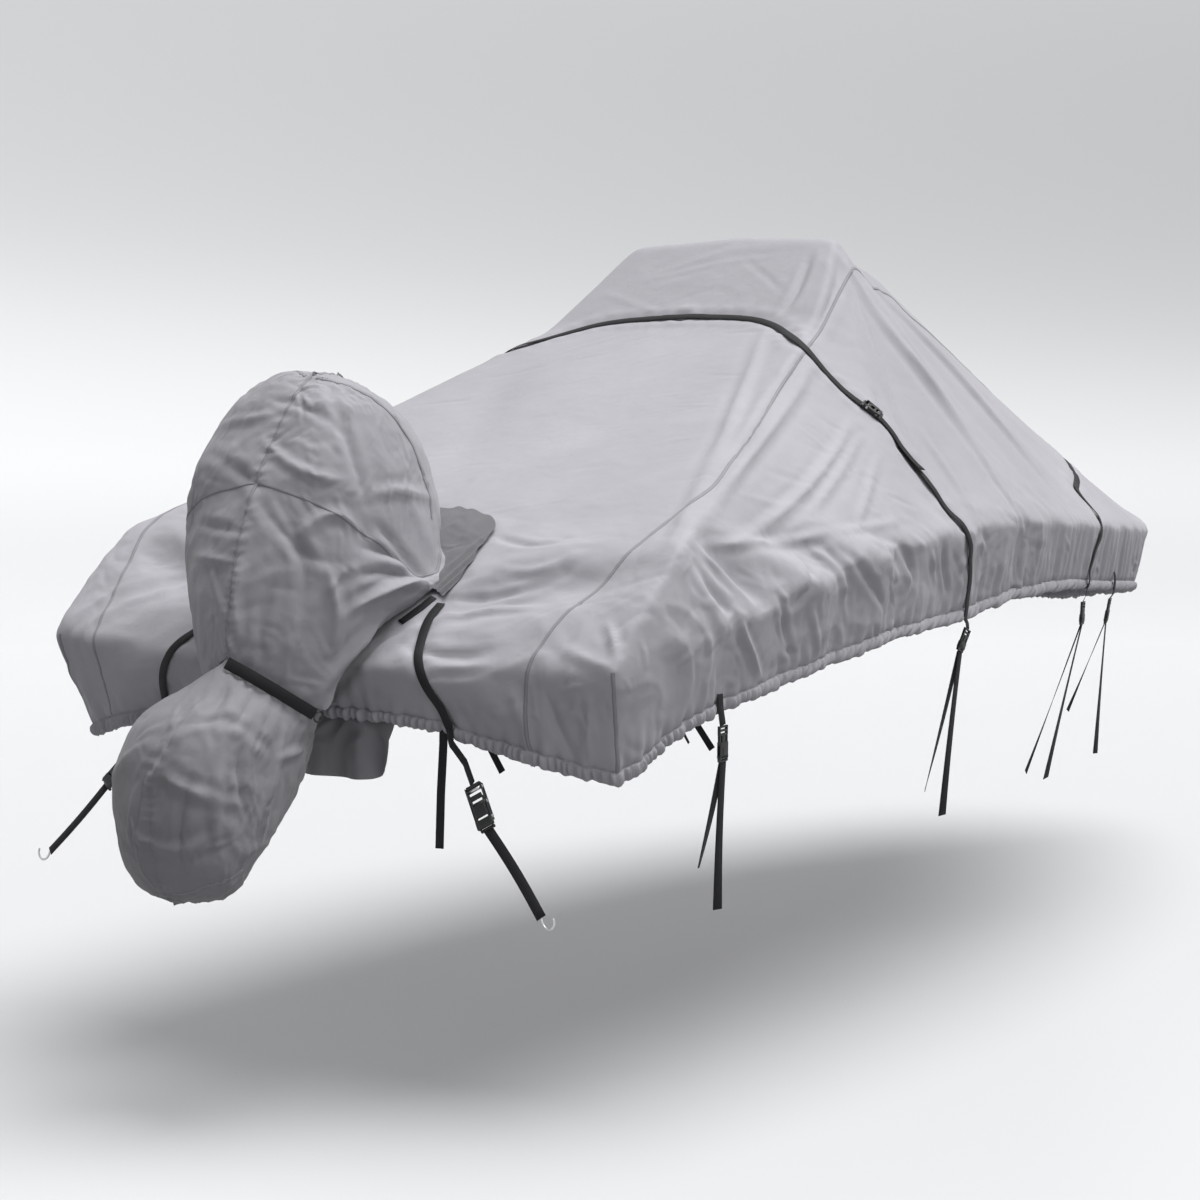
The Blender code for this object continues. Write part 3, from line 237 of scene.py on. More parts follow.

# %% [markdown]
# ## A cloth made of grids
#
# Each half of the cover is a grid of points, and so is each half of the transom. Grids that
# meet share their edge points, so creases run across a seam without a step. The points can
# then be pushed in and out along the surface's own direction, and the grids are cut into
# panels last of all. A cloth simulation could crease the cover too, but it would drift from
# the measured form and take minutes, so the creases are placed one by one.

# %% Cloth
class Cloth:
    """Grids that share their edge points, with a few numbers kept for every point."""

    def __init__(self):
        self.parts, self.faces, self.owners, self.count = [], [], [], 0

    def add_grid(self, grid, owner, flip=False, **fields):
        rows, columns = grid.shape[:2]
        extra = [np.broadcast_to(fields.get(key, 0.0), (rows, columns)).ravel()
                 for key in ("above", "along", "u", "v")]
        self.parts.append(np.column_stack([grid.reshape(-1, 3)] + extra))
        k = np.arange(rows * columns).reshape(rows, columns) + self.count
        quads = np.stack([k[:-1, :-1], k[:-1, 1:], k[1:, 1:], k[1:, :-1]], axis=-1).reshape(-1, 4)
        self.faces.append(quads[:, ::-1] if flip else quads)
        self.owners += [owner] * len(quads)
        self.count += rows * columns

    def finish(self):
        """Weld the grids where they meet."""
        every = np.vstack(self.parts)
        keys = np.round(every[:, :3] / WELD).astype(np.int64)
        _, first, place = np.unique(keys, axis=0, return_index=True, return_inverse=True)
        self.points = every[first, :3].copy()
        self.above, self.along = every[first, 3], every[first, 4]
        loose = np.vstack(self.faces)
        self.corner = every[:, 5:7][loose]
        self.faces = place.ravel()[loose]
        self.owners = np.array(self.owners)

    def normals(self):
        """The way the surface faces at each point."""
        a, b, c, d = (self.points[self.faces[:, k]] for k in range(4))
        facing = np.cross(c - a, d - b)
        out = np.zeros_like(self.points)
        for k in range(4):
            for axis in range(3):
                out[:, axis] += np.bincount(self.faces[:, k], facing[:, axis], len(out))
        return out / np.maximum(np.linalg.norm(out, axis=1), 1e-12)[:, None]

    def push(self, shift):
        self.points += self.normals() * shift[:, None]

    def relax(self, rounds, weight):
        """Ease every point towards its neighbours, more where weight is higher."""
        ahead = np.concatenate([self.faces[:, k] for k in range(4)])
        after = np.concatenate([self.faces[:, (k + 1) % 4] for k in range(4)])
        a, b = np.concatenate([ahead, after]), np.concatenate([after, ahead])
        count = np.maximum(np.bincount(a, minlength=len(self.points)), 1)
        for _ in range(rounds):
            mean = np.stack([np.bincount(a, column, len(count)) for column in self.points[b].T], axis=1)
            self.points += (mean / count[:, None] - self.points) * (0.6 * weight)[:, None]

    def tree(self):
        return BVHTree.FromPolygons(self.points.tolist(), self.faces.tolist())

    def panel(self, owner, name, nodes, finish):
        """One panel as an object of its own."""
        chosen = self.owners == owner
        own, corner = self.faces[chosen], self.corner[chosen]
        whole = np.array([len(set(face)) == 4 for face in own.tolist()])
        used, place = np.unique(own, return_inverse=True)
        place = place.reshape(own.shape)
        slim = [list(dict.fromkeys(face)) for face in place[~whole].tolist()]
        slim = [face for face in slim if len(face) == 3]
        mesh = bpy.data.meshes.new(name)
        mesh.from_pydata((self.points[used] - CROWN).tolist(), [], place[whole].tolist() + slim)
        layer = mesh.uv_layers.new(name="flat")
        uv = np.zeros((len(mesh.loops), 2))
        uv[:4 * whole.sum()] = corner[whole].reshape(-1, 2)
        layer.data.foreach_set("uv", uv.ravel())
        mesh.shade_smooth()
        return add_piece(name, mesh, nodes, finish)


WELD = 2e-5                      # points of two grids this near each other are one point


def add_piece(name, data, nodes, finish):
    """Put a piece in the scene, let it ride, and let it stand for the frame's nodes."""
    piece = bpy.data.objects.new(name, data)
    bpy.context.collection.objects.link(piece)
    data.materials.append(finish)
    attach(piece, "root")
    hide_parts(*nodes)
    return piece


# %% [markdown]
# ## Finishes
#
# Every finish is made of nodes, so it needs no picture and never stretches. The cloth's weave
# is two crossed waves a millimetre apart, which push the surface in and out. A soft noise
# below it adds the small dents that a stored cover keeps. The webbing has ribs across it.

# %% Finishes
def node(tree, kind, settings=(), **values):
    """Add one node; settings are its own properties, values are its input sockets."""
    made = tree.nodes.new(kind)
    for key, value in dict(settings).items():
        setattr(made, key, value)
    for key, value in values.items():
        made.inputs[key.replace("_", " ")].default_value = value
    return made


def new_finish(name, slot, colour, roughness, metallic=0.0):
    made = bpy.data.materials.new(name)
    made.use_nodes = True
    made["slot"] = slot
    shader = made.node_tree.nodes["Principled BSDF"]
    shader.inputs["Base Color"].default_value = (*colour, 1)
    shader.inputs["Roughness"].default_value = roughness
    shader.inputs["Metallic"].default_value = metallic
    made.diffuse_color = (*colour, 1)
    return made, made.node_tree, shader


def bump(tree, height, distance, strength, below=None):
    """Push the surface in and out by a height, on top of the bump below it."""
    made = node(tree, "ShaderNodeBump", Distance=distance, Strength=strength)
    tree.links.new(height, made.inputs["Height"])
    if below:
        tree.links.new(below, made.inputs["Normal"])
    return made.outputs["Normal"]


def waves(tree, where, direction, pitch):
    made = node(tree, "ShaderNodeTexWave", {"bands_direction": direction}, Scale=WAVE_UNIT / pitch)
    tree.links.new(where, made.inputs["Vector"])
    return made.outputs["Fac"]


def tint(tree, factor, dark, light, socket, low=0.3, high=0.7):
    """Let a factor run a socket from one colour to another."""
    ramp = node(tree, "ShaderNodeValToRGB")
    ramp.color_ramp.elements[0].position, ramp.color_ramp.elements[1].position = low, high
    ramp.color_ramp.elements[0].color, ramp.color_ramp.elements[1].color = (*dark, 1), (*light, 1)
    tree.links.new(factor, ramp.inputs["Fac"])
    tree.links.new(ramp.outputs["Color"], socket)


def woven(name, slot, dark, light, roughness, pitch, ribs=False):
    """Cloth or webbing: threads by its flat measure, dents and tone by its place."""
    made, tree, shader = new_finish(name, slot, light, roughness)
    where = node(tree, "ShaderNodeTexCoord")
    flat, place = where.outputs["UV"], where.outputs["Object"]
    across, along = (waves(tree, flat, way, pitch) for way in ("X", "Y"))
    threads = node(tree, "ShaderNodeMath", {"operation": "MULTIPLY" if not ribs else "MAXIMUM"})
    tree.links.new(across, threads.inputs[0])
    tree.links.new(along, threads.inputs[1])
    dents = node(tree, "ShaderNodeTexNoise", Scale=26.0, Detail=3.0, Roughness=0.55, Distortion=0.6)
    creased = node(tree, "ShaderNodeTexNoise", {"noise_type": "RIDGED_MULTIFRACTAL"},
                   Scale=8.0, Detail=3.0, Roughness=0.5, Distortion=0.9)
    tone = node(tree, "ShaderNodeTexNoise", Scale=2.2, Detail=5.0, Roughness=0.6)
    for pattern in (dents, creased, tone):
        tree.links.new(place, pattern.inputs["Vector"])
    sharp = bump(tree, creased.outputs["Fac"], CREASE_HIGH, 0.0 if ribs else 0.3)
    soft = bump(tree, dents.outputs["Fac"], DENT, 0.35, sharp)
    fine = bump(tree, threads.outputs["Value"], pitch * 0.35, 0.5, soft)
    tree.links.new(fine, shader.inputs["Normal"])
    tint(tree, tone.outputs["Fac"], dark, light, shader.inputs["Base Color"])
    shader.inputs["Sheen Weight"].default_value = 0.02 if ribs else 0.15
    shader.inputs["Sheen Roughness"].default_value = 0.5
    shader.inputs["Specular IOR Level"].default_value = 0.25 if ribs else 0.4
    return made


def moulded(name, slot, colour, roughness, metallic=0.0):
    """Plastic or steel with a fine grain and uneven gloss."""
    made, tree, shader = new_finish(name, slot, colour, roughness, metallic)
    where = node(tree, "ShaderNodeTexCoord")
    grain = node(tree, "ShaderNodeTexNoise", Scale=900.0, Detail=3.0)
    wear = node(tree, "ShaderNodeTexNoise", Scale=60.0, Detail=4.0)
    for pattern in (grain, wear):
        tree.links.new(where.outputs["Object"], pattern.inputs["Vector"])
    tree.links.new(bump(tree, grain.outputs["Fac"], 0.0003, 0.3), shader.inputs["Normal"])
    gloss = node(tree, "ShaderNodeMapRange", To_Min=roughness * 0.75, To_Max=roughness * 1.3)
    tree.links.new(wear.outputs["Fac"], gloss.inputs["Value"])
    tree.links.new(gloss.outputs["Result"], shader.inputs["Roughness"])
    return made


WAVE_UNIT = math.pi / 10         # length of one wave of the wave node at scale 1
DENT = 0.004                     # depth of the small dents in cloth
CREASE_HIGH = 0.005              # height of the fine sharp creases in cloth
WEAVE, FINE_WEAVE, RIB = 0.0013, 0.0006, 0.0016  # pitch of the threads and of the webbing's ribs


def canvas(name, dark, light, roughness=0.72, pitch=WEAVE):
    return woven(name, "cover_cloth", dark, light, roughness, pitch)


CLOTH = canvas("cover_cloth", (0.300, 0.294, 0.318), (0.345, 0.337, 0.364))
# Painted shade: the front flap's cloth, the cover's cloth made much darker to stand for the shade that it
# lies in.
SHADE_CLOTH = canvas("lining_cloth", (0.095, 0.093, 0.101), (0.135, 0.132, 0.143), 0.8)
# Painted shade: the seam strips, the cover's cloth made darker to stand for the shade along each seam.
SEAM_SHADED_CLOTH = canvas("seam_cloth", (0.200, 0.196, 0.212), (0.230, 0.225, 0.243))
# Painted shade: the hood's and the sleeve's cloth, the cover's cloth made darker to stand for the shade they
# hang in, the sleeve darkest.
HOOD_SHADED_CLOTH = canvas("hood_cloth", (0.262, 0.257, 0.278), (0.302, 0.295, 0.319))
SLEEVE_SHADED_CLOTH = canvas("sleeve_cloth", (0.176, 0.173, 0.187), (0.208, 0.204, 0.220))
THREAD = canvas("sewing_thread", (0.11, 0.109, 0.117), (0.14, 0.138, 0.148), 0.6, FINE_WEAVE)
WEBBING = woven("webbing", "webbing", (0.006, 0.006, 0.007), (0.012, 0.012, 0.014), 0.7, RIB, True)
PLASTIC = moulded("moulded_plastic", "moulded_plastic", (0.008, 0.008, 0.009), 0.42)
STEEL = moulded("steel_wire", "steel_wire", (0.55, 0.55, 0.56), 0.34, 1.0)
print(len(bpy.data.materials), "finishes")

# %% [markdown]
# ## Where the webbing runs
#
# The routes come before the cloth, because a tight strap presses the cloth under it. Each is
# a row of places on the starboard half, and the port half mirrors them.

# %% Routes of the webbing
CROWN_STRAP = ((0.000, 1.808, 1.957), (0.167, 1.806, 1.954), (0.280, 1.793, 1.944), (0.383, 1.741, 1.915),
               (0.527, 1.620, 1.855), (0.601, 1.635, 1.777), (0.673, 1.662, 1.697), (0.727, 1.700, 1.639),
               (0.842, 1.714, 1.510), (0.886, 1.701, 1.459), (0.961, 1.727, 1.376), (0.983, 1.741, 1.310),
               (0.968, 1.767, 1.215), (0.953, 1.780, 1.130), (0.953, 1.780, 1.092))
BOW_STRAP = ((0.000, 3.980, 1.650), (0.120, 3.930, 1.640), (0.300, 3.800, 1.580), (0.500, 3.550, 1.500),
             (0.600, 3.330, 1.470), (0.710, 3.120, 1.425), (0.798, 2.936, 1.418), (0.852, 2.936, 1.366),
             (0.905, 2.884, 1.314), (0.908, 2.819, 1.221), (0.888, 2.793, 1.135), (0.886, 2.790, 1.100))
STERN_STRAP = ((0.311, 0.202, 1.205), (0.303, 0.167, 1.178), (0.322, 0.107, 1.131),
               (0.372, 0.020, 1.075), (0.398, -0.005, 1.030), (0.420, 0.040, 0.966), (0.432, 0.072, 0.925))
WAIST_STRAP = ((0.008, -0.236, 1.080), (0.075, -0.190, 1.030), (0.150, -0.088, 0.950))
FRONT_STRAP = ((0.236, 0.132, 1.165), (0.262, 0.172, 1.190), (0.279, 0.214, 1.218))
# How each strap or tab goes on below the hem, down to its buckle.
CROWN_FALL = ((0.958, 1.782, 1.078), (0.962, 1.779, 1.064))
BOW_FALL = ((0.890, 2.790, 1.086), (0.889, 2.790, 1.074))
STERN_FALL = ((0.452, 0.056, 0.885), (0.500, 0.045, 0.845), (0.541, 0.020, 0.800))
PORT_FALL = ((0.506, 0.056, 0.885), (0.523, 0.045, 0.845), (0.541, 0.020, 0.800))
STEM_TAB = ((0.848, 3.118, 1.150), (0.841, 3.120, 1.112))
STEM_FALL = ((0.842, 3.124, 1.062),)
QUARTER_TAB = ((0.925, 0.540, 0.985), (0.912, 0.545, 0.945))
QUARTER_FALL = ((0.906, 0.550, 0.910),)
HEM_TAIL = ((0.400, 0.089, 0.930), (0.404, 0.087, 0.912))
HEM_TAIL_FALL = ((0.406, 0.084, 0.880), (0.410, 0.068, 0.760), (0.415, 0.055, 0.630))
PORT_SPREAD = 1.14               # the port stern strap runs this much further outboard
WEBBING_SIZE = (0.025, 0.0018)   # width and thickness of the tie-down webbing
WAIST_SIZE = (0.030, 0.0020)     # the same for the hood's waist strap
CAM_BUCKLE = (0.700, 1.680, 1.668)  # where the cam buckle lies on the crown strap
CAM_SIZE = (0.070, 0.040, 0.012)
# Buckles hang from the end of a strap or tab: name, foot end, the way they face, size.
Buckle = namedtuple("Buckle", "name foot face width thickness")
BUCKLES = {
    "crown": Buckle("crown_tie_buckle", (0.958, 1.754, 1.000), (1, 0, 0), 0.034, 0.012),
    "bow": Buckle("bow_tie_buckle", (0.885, 2.789, 1.000), (1, 0.15, 0), 0.034, 0.012),
    "stem": Buckle("stem_tie_buckle", (0.826, 3.124, 0.978), (1, 0.25, 0), 0.034, 0.012),
    "quarter": Buckle("quarter_tie_buckle", (0.902, 0.556, 0.820), (1, -0.1, 0), 0.034, 0.012),
    "stern": Buckle("stern_strap_buckle", (0.615, -0.020, 0.704), (0.35, -0.94, 0), 0.045, 0.022),
}
# Two legs run down from each buckle, one laid before the other.
Leg = namedtuple("Leg", "name tie layer foot")
LEGS = (
    Leg("crown_tie_leg_fore", "crown", 1, (0.800, 1.977, 0.489)),
    Leg("crown_tie_leg_aft", "crown", -1, (0.800, 1.864, 0.578)),
    Leg("bow_tie_leg_fore", "bow", 1, (0.650, 3.060, 0.456)),
    Leg("bow_tie_leg_aft", "bow", -1, (0.650, 2.900, 0.495)),
    Leg("stem_tie_tail", "stem", 1, (0.800, 3.118, 0.544)),
    Leg("stem_tie_leg", "stem", -1, (0.700, 3.118, 0.680)),
    Leg("quarter_tie_leg_fore", "quarter", 1, (0.850, 0.620, 0.438)),
    Leg("quarter_tie_leg_aft", "quarter", -1, (0.850, 0.530, 0.556)),
    Leg("stern_strap_lower", "stern", 0, (0.789, -0.053, 0.522)),
)
LAYER = 0.0014                   # how far the legs of a pair stand off their middle
# The hook's places, measured from the end of the strap that carries it.
STERN_HOOK = ((0.0000, 0.0000, 0.0000), (0.0045, -0.0015, -0.0115), (0.0135, -0.0025, -0.0205),
              (0.0255, -0.0035, -0.0225), (0.0345, -0.0035, -0.0155), (0.0375, -0.0035, -0.0045),
              (0.0345, -0.0035, 0.0055))
HOOK_WIRE = 0.0025               # half thickness of the hooks' wire
RING_REACH = 0.013               # half width of the waist strap's ring
RING_WIRE = 0.0022               # half thickness of its wire
RING_POINTS = 16
print(len(CROWN_STRAP) + len(BOW_STRAP), "places on the two long straps")

# %% [markdown]
# ## The cover's plain form
#
# A section is four corners, rounded where the cloth folds over. The mesh is finest below the
# rail, where the elastic gathers the cloth. The arc length along the rail and the distance
# above the hem are kept for every point, because the gathers are measured by them.

# %% Sections to grids
def section_rows(stations):
    table = np.array(SECTIONS)
    along = arc_lengths(table[:, 5:7])
    share = along / along[-1]
    fine = np.linspace(0, 1, 1001)
    reach = int(round(1000 * RIDGE_REACH / along[-1]))
    rows = np.zeros((len(stations), table.shape[1]))
    for k in range(table.shape[1]):
        if k < 5:
            soft = rounded(np.interp(fine, share, table[:, k]), reach)
            rows[:, k] = np.interp(stations, fine, soft)
        else:
            rows[:, k] = smooth_through(share, table[:, k], stations)
    return rows


def section_curve(row):
    """One half of a section: centre panel, side panel and skirt, from centre line to hem."""
    section = Section(*row)
    centre = np.array([0, section.deck_y, section.deck_z])
    corners = np.array([centre, row[2:5], row[5:8], row[8:11]])
    along = arc_lengths(corners)
    count = 400
    soft = rounded(read_path(corners, np.linspace(0, along[-1], count)),
                   int(round(FOLD_REACH * count / along[-1])))
    soft[:, 0] = np.maximum(soft[:, 0], 0)
    to_rail, to_hem = along[2], along[3]
    marks = np.concatenate([
        np.linspace(0, section.seam * to_rail, DECK, endpoint=False),
        np.linspace(section.seam * to_rail, to_rail, SIDE, endpoint=False),
        np.linspace(to_rail, to_hem, SKIRT + 1)])
    where = np.linspace(0, along[-1], count)
    return np.stack([np.interp(marks, where, column) for column in soft.T], axis=1)


def half_cover(side):
    """One half of the cover from stern to bow, and the arc length along its rail."""
    run = arc_lengths(np.array(SECTIONS)[:, 5:7])[-1]
    rows = section_rows(np.linspace(0, 1, int(run / CELL) + 1))
    if side < 0:
        lopsided = np.clip(LOPSIDED - rows[:, 6], 0, 1)
        rows[:, -1] += PORT_SEAM * lopsided
        rows[:, 2] += PORT_FULL * lopsided
        rows[:, 5] += PORT_FULL * lopsided
    half = np.stack([section_curve(row) for row in rows])
    rail_run = arc_lengths(half[:, DECK + SIDE])
    wave = np.sin(2 * np.pi * rail_run / SKIRT_WAVE) * np.minimum(1, rail_run / SKIRT_FADE)
    for k in range(1, SKIRT + 1):
        fall = math.sin(math.pi * (0.15 + 0.7 * k / SKIRT))
        half[:, DECK + SIDE + k, 0] += wave * SKIRT_DEPTH * fall
    half[-1, :, 0] = 0
    return half, rail_run


def transom_grid(fold_row):
    """The cloth from the stern fold down to the transom hem, one half."""
    across = DECK + SIDE
    top, corner = fold_row[:across + 1], fold_row[across:]
    share = arc_lengths(top) / arc_lengths(top)[-1]
    hem = np.array(TRANSOM_HEM)
    bottom = smooth_path(hem[:, 0], hem[:, 1:], share)
    drop = arc_lengths(corner) / arc_lengths(corner)[-1]
    rows = []
    for j in range(SKIRT + 1):
        fall = j / SKIRT + (drop[j] - j / SKIRT) * share
        line = top + (bottom - top) * fall[:, None]
        chord = corner[0] + (corner[-1] - corner[0]) * drop[j]
        line = line + np.outer(share**4, corner[j] - chord)
        line[:, 1] -= TRANSOM_BELLY * np.sin(math.pi * fall) * (1 - share**3)
        rows.append(line)
    rows[0], rows[-1] = top, bottom
    rows = np.array(rows)
    rows[:, -1] = corner
    return rows


def from_edge(grid, edge):
    """Arc length of every point from one edge of its grid, row by row."""
    step = np.linalg.norm(np.diff(grid, axis=1), axis=2)
    total = np.concatenate([np.zeros((len(grid), 1)), np.cumsum(step, axis=1)], axis=1)
    return total if edge == "first" else total[:, -1:] - total


cover = Cloth()
for side, owner in ((1, "starboard"), (-1, "port")):
    half, rail_run = half_cover(side)
    back = transom_grid(half[0])
    above, across = from_edge(half, "last"), from_edge(half, "first")
    back_above = from_edge(back.swapaxes(0, 1), "last").T
    back_along = -from_edge(back, "last")
    turn = np.array([side, 1, 1])
    for first, last, panel in ((0, DECK + 1, "centre"), (DECK, None, owner)):
        cut = slice(first, last)
        cover.add_grid(half[:, cut] * turn, panel, side < 0, above=above[:, cut],
                       along=rail_run[:, None], u=rail_run[:, None], v=across[:, cut])
        cover.add_grid(back[:, cut] * turn, panel, side > 0, above=back_above[:, cut],
                       along=back_along[:, cut], u=back_above[:, cut], v=across[0, :DECK + SIDE + 1][cut])
cover.finish()
print(len(cover.points), "points in the cover")

# %% [markdown]
# ## Creases
#
# A crease is a line with a ridge or a trough along it. Each row gives how wide it is, how
# deep, with depth above nought for a ridge, and the pixels of the camera's frame that it
# passes. Each pixel is cast from the eye onto the frame's solids. A crease's ends fade out.
# Close to the line the cloth is pinched, and further off it dips a little the other way, as
# stiff cloth does. The lines follow how the cover is held: they fan out from the corner of
# the crown, and crowd together where the hood leans on the deck.

# %% Creases
Crease = namedtuple("Crease", "width depth places")
COVER_CREASES = (
    Crease(0.016, -0.005, ((806, 350), (797, 365), (788, 380))),
    Crease(0.018, -0.007, ((838, 248), (834, 294), (811, 339))),
    Crease(0.016, -0.006, ((811, 257), (793, 298), (775, 316))),
    Crease(0.02, 0.007, ((834, 248), (870, 344), (888, 394), (902, 435), (920, 475), (947, 521))),
    Crease(0.022, 0.008, ((838, 257), (906, 344), (956, 421), (1002, 503), (1020, 539))),
    Crease(0.02, 0.007, ((865, 275), (943, 362), (1011, 435), (1065, 503), (1079, 530))),
    Crease(0.016, -0.006, ((875, 394), (897, 444), (915, 471))),
    Crease(0.016, 0.004, ((920, 430), (956, 485), (979, 525))),
    Crease(0.016, 0.004, ((975, 444), (1011, 503), (1025, 539))),
    Crease(0.018, 0.006, ((856, 416), (811, 485), (775, 521), (734, 544))),
    Crease(0.016, 0.005, ((861, 435), (838, 475), (811, 512))),
    Crease(0.014, 0.004, ((879, 453), (865, 503), (856, 530))),
    Crease(0.018, 0.005, ((815, 366), (775, 425), (715, 498))),
    Crease(0.018, -0.006, ((802, 362), (761, 421), (711, 485), (697, 521))),
    Crease(0.02, 0.006, ((765, 328), (738, 394), (702, 503), (670, 544))),
    Crease(0.014, 0.005, ((702, 544), (756, 544), (838, 535), (897, 521))),
    Crease(0.016, -0.007, ((793, 544), (811, 575), (793, 607))),
    Crease(0.016, 0.007, ((811, 548), (847, 594), (838, 625))),
    Crease(0.015, -0.006, ((838, 548), (865, 575), (884, 607))),
    Crease(0.015, 0.006, ((875, 544), (897, 548), (911, 585))),
    Crease(0.013, -0.006, ((906, 548), (911, 580), (902, 612))),
    Crease(0.012, 0.005, ((929, 548), (934, 566), (938, 585))),
    Crease(0.012, -0.005, ((943, 544), (945, 569), (947, 594))),
    Crease(0.013, 0.006, ((734, 607), (747, 639), (761, 680))),
    Crease(0.013, -0.006, ((775, 594), (788, 639), (793, 666))),
    Crease(0.013, 0.006, ((811, 607), (815, 639), (820, 666))),
    Crease(0.016, 0.006, ((358, 668), (395, 641), (449, 614))),
    Crease(0.016, -0.006, ((322, 704), (354, 665), (385, 627))),
    Crease(0.015, 0.006, ((440, 618), (494, 611), (540, 605))),
    Crease(0.014, -0.005, ((444, 600), (494, 598), (553, 582), (585, 559))),
    Crease(0.014, 0.005, ((494, 568), (531, 573), (576, 554))),
    Crease(0.014, -0.005, ((494, 536), (531, 545), (567, 536))),
    Crease(0.015, 0.005, ((431, 668), (462, 666), (494, 664))),
    Crease(0.012, 0.004, ((463, 695), (468, 711), (472, 727))),
    Crease(0.012, 0.005, ((606, 622), (612, 638), (616, 660))),
    Crease(0.02, -0.007, ((684, 552), (708, 586), (733, 612))),
    Crease(0.016, 0.006, ((690, 546), (722, 575), (752, 606))),
    Crease(0.018, 0.004, ((560, 648), (590, 660), (612, 668))),
    Crease(0.014, -0.004, ((545, 690), (560, 730), (575, 760))),
    Crease(0.014, 0.004, ((510, 690), (522, 720), (530, 755))),
    Crease(0.014, 0.004, ((590, 700), (588, 735), (592, 770))),
    Crease(0.016, -0.005, ((400, 640), (440, 655), (500, 650))),
)


CREASE_REACH = 3.2               # a crease ends this many widths from its line
CREASE_GAIN = 2.0                # how much deeper than its row each crease is pressed
CREASE_POINTS = 7                # points along the line of a crease


def bowed(first, middle, last, count):
    """Points of a smooth bow through three places."""
    t = np.linspace(0, 1, count)[:, None]
    pull = 2 * middle - (first + last) / 2
    return (1 - t)**2 * first + 2 * t * (1 - t) * pull + t**2 * last


def beside(points, path):
    """How far each point lies from a path, and how far along it, from 0 to 1."""
    off, where = np.full(len(points), np.inf), np.zeros(len(points))
    along = arc_lengths(path)
    for k in range(len(path) - 1):
        run = path[k + 1] - path[k]
        t = np.clip((points - path[k]) @ run / max(run @ run, 1e-12), 0, 1)
        away = np.linalg.norm(points - path[k] - t[:, None] * run, axis=1)
        nearer = away < off
        off[nearer] = away[nearer]
        where[nearer] = ((along[k] + t * (along[k + 1] - along[k])) / along[-1])[nearer]
    return off, where


def add_crease(shift, points, path, width, depth):
    reach = CREASE_REACH * width
    close = np.all((points > path.min(0) - reach) & (points < path.max(0) + reach), axis=1)
    near = np.flatnonzero(close)
    if not len(near):
        return
    off, where = beside(points[near], path)
    pinch = np.exp(-np.sqrt(off**2 + (0.16 * width)**2) / (0.50 * width) + 0.32)
    hollow = np.exp(-((off - 1.7 * width) / (0.8 * width))**2)
    shift[near] += depth * (pinch - 0.28 * hollow) * np.sin(np.pi * (0.04 + 0.92 * where))**0.8


def crease_shift(points, creases, tree):
    """How far a table of creases, cast on a solid's tree, pushes each point of a cloth."""
    shift = np.zeros(len(points))
    for crease in creases:
        pixels = np.array(crease.places, float)
        if len(pixels) != 3:
            pixels = read_path(pixels, arc_lengths(pixels)[-1] * np.array([0, 0.5, 1]))
        spots = [seen(tree, *pixel) for pixel in pixels]
        add_crease(shift, points, bowed(*np.array(spots), CREASE_POINTS), crease.width, crease.depth)
    return shift


Scatter = namedtuple("Scatter", "count length width depth lean")


def scatter(cloth, seed, chosen, row):
    """Small creases at seeded places among the chosen points, leaning about one way."""
    random = np.random.default_rng(seed)
    normals, shift = cloth.normals(), np.zeros(len(cloth.points))
    places = np.flatnonzero(chosen)
    for k in random.choice(places, row.count):
        way = np.array(row.lean, float) + random.normal(0, 0.55, 3)
        way -= normals[k] * (way @ normals[k])
        way /= np.linalg.norm(way)
        long = row.length * random.uniform(0.5, 1.5)
        side = np.cross(normals[k], way) * random.normal(0, 0.12) * long
        path = np.array([cloth.points[k], cloth.points[k] + way * long / 2 + side,
                         cloth.points[k] + way * long])
        add_crease(shift, cloth.points, path, row.width * random.uniform(0.6, 1.5),
                   row.depth * random.uniform(-1, 1))
    return shift


def wander(values, pitch, seed):
    """A smooth seeded curve from -1 to 1 that turns about once every pitch."""
    random = np.random.default_rng(seed)
    spots = np.arange(values.min() - 4 * pitch, values.max() + 4 * pitch, pitch)
    heights = random.uniform(-1, 1, len(spots))
    return smooth_through(spots, heights, values)


def crumple(cloth, size, depth, seed):
    """Sharp-edged dents, about size across, along the lines where a warped noise is nought."""
    shift = np.zeros(len(cloth.points))
    start = Vector((seed * 7.3, seed * 3.1, seed * 1.7))
    for k, point in enumerate(cloth.points.tolist()):
        spot = Vector(point) / size + start
        spot += noise.noise_vector(spot * 0.6) * 0.8
        shift[k] = 0.35 - abs(noise.noise(spot)) * 1.6
    cloth.push(shift * depth)


print("a crease fades over", CREASE_REACH, "times its width")

# %% [markdown]
# ## Shaping the cover
#
# The main creases come first and the small ones after them. Below the rail the elastic pulls
# the hem in, so the cloth stands in gathers that grow towards the hem. Their spacing wanders,
# because even waves look like a curtain. The hem itself is a soft double band, folded under.

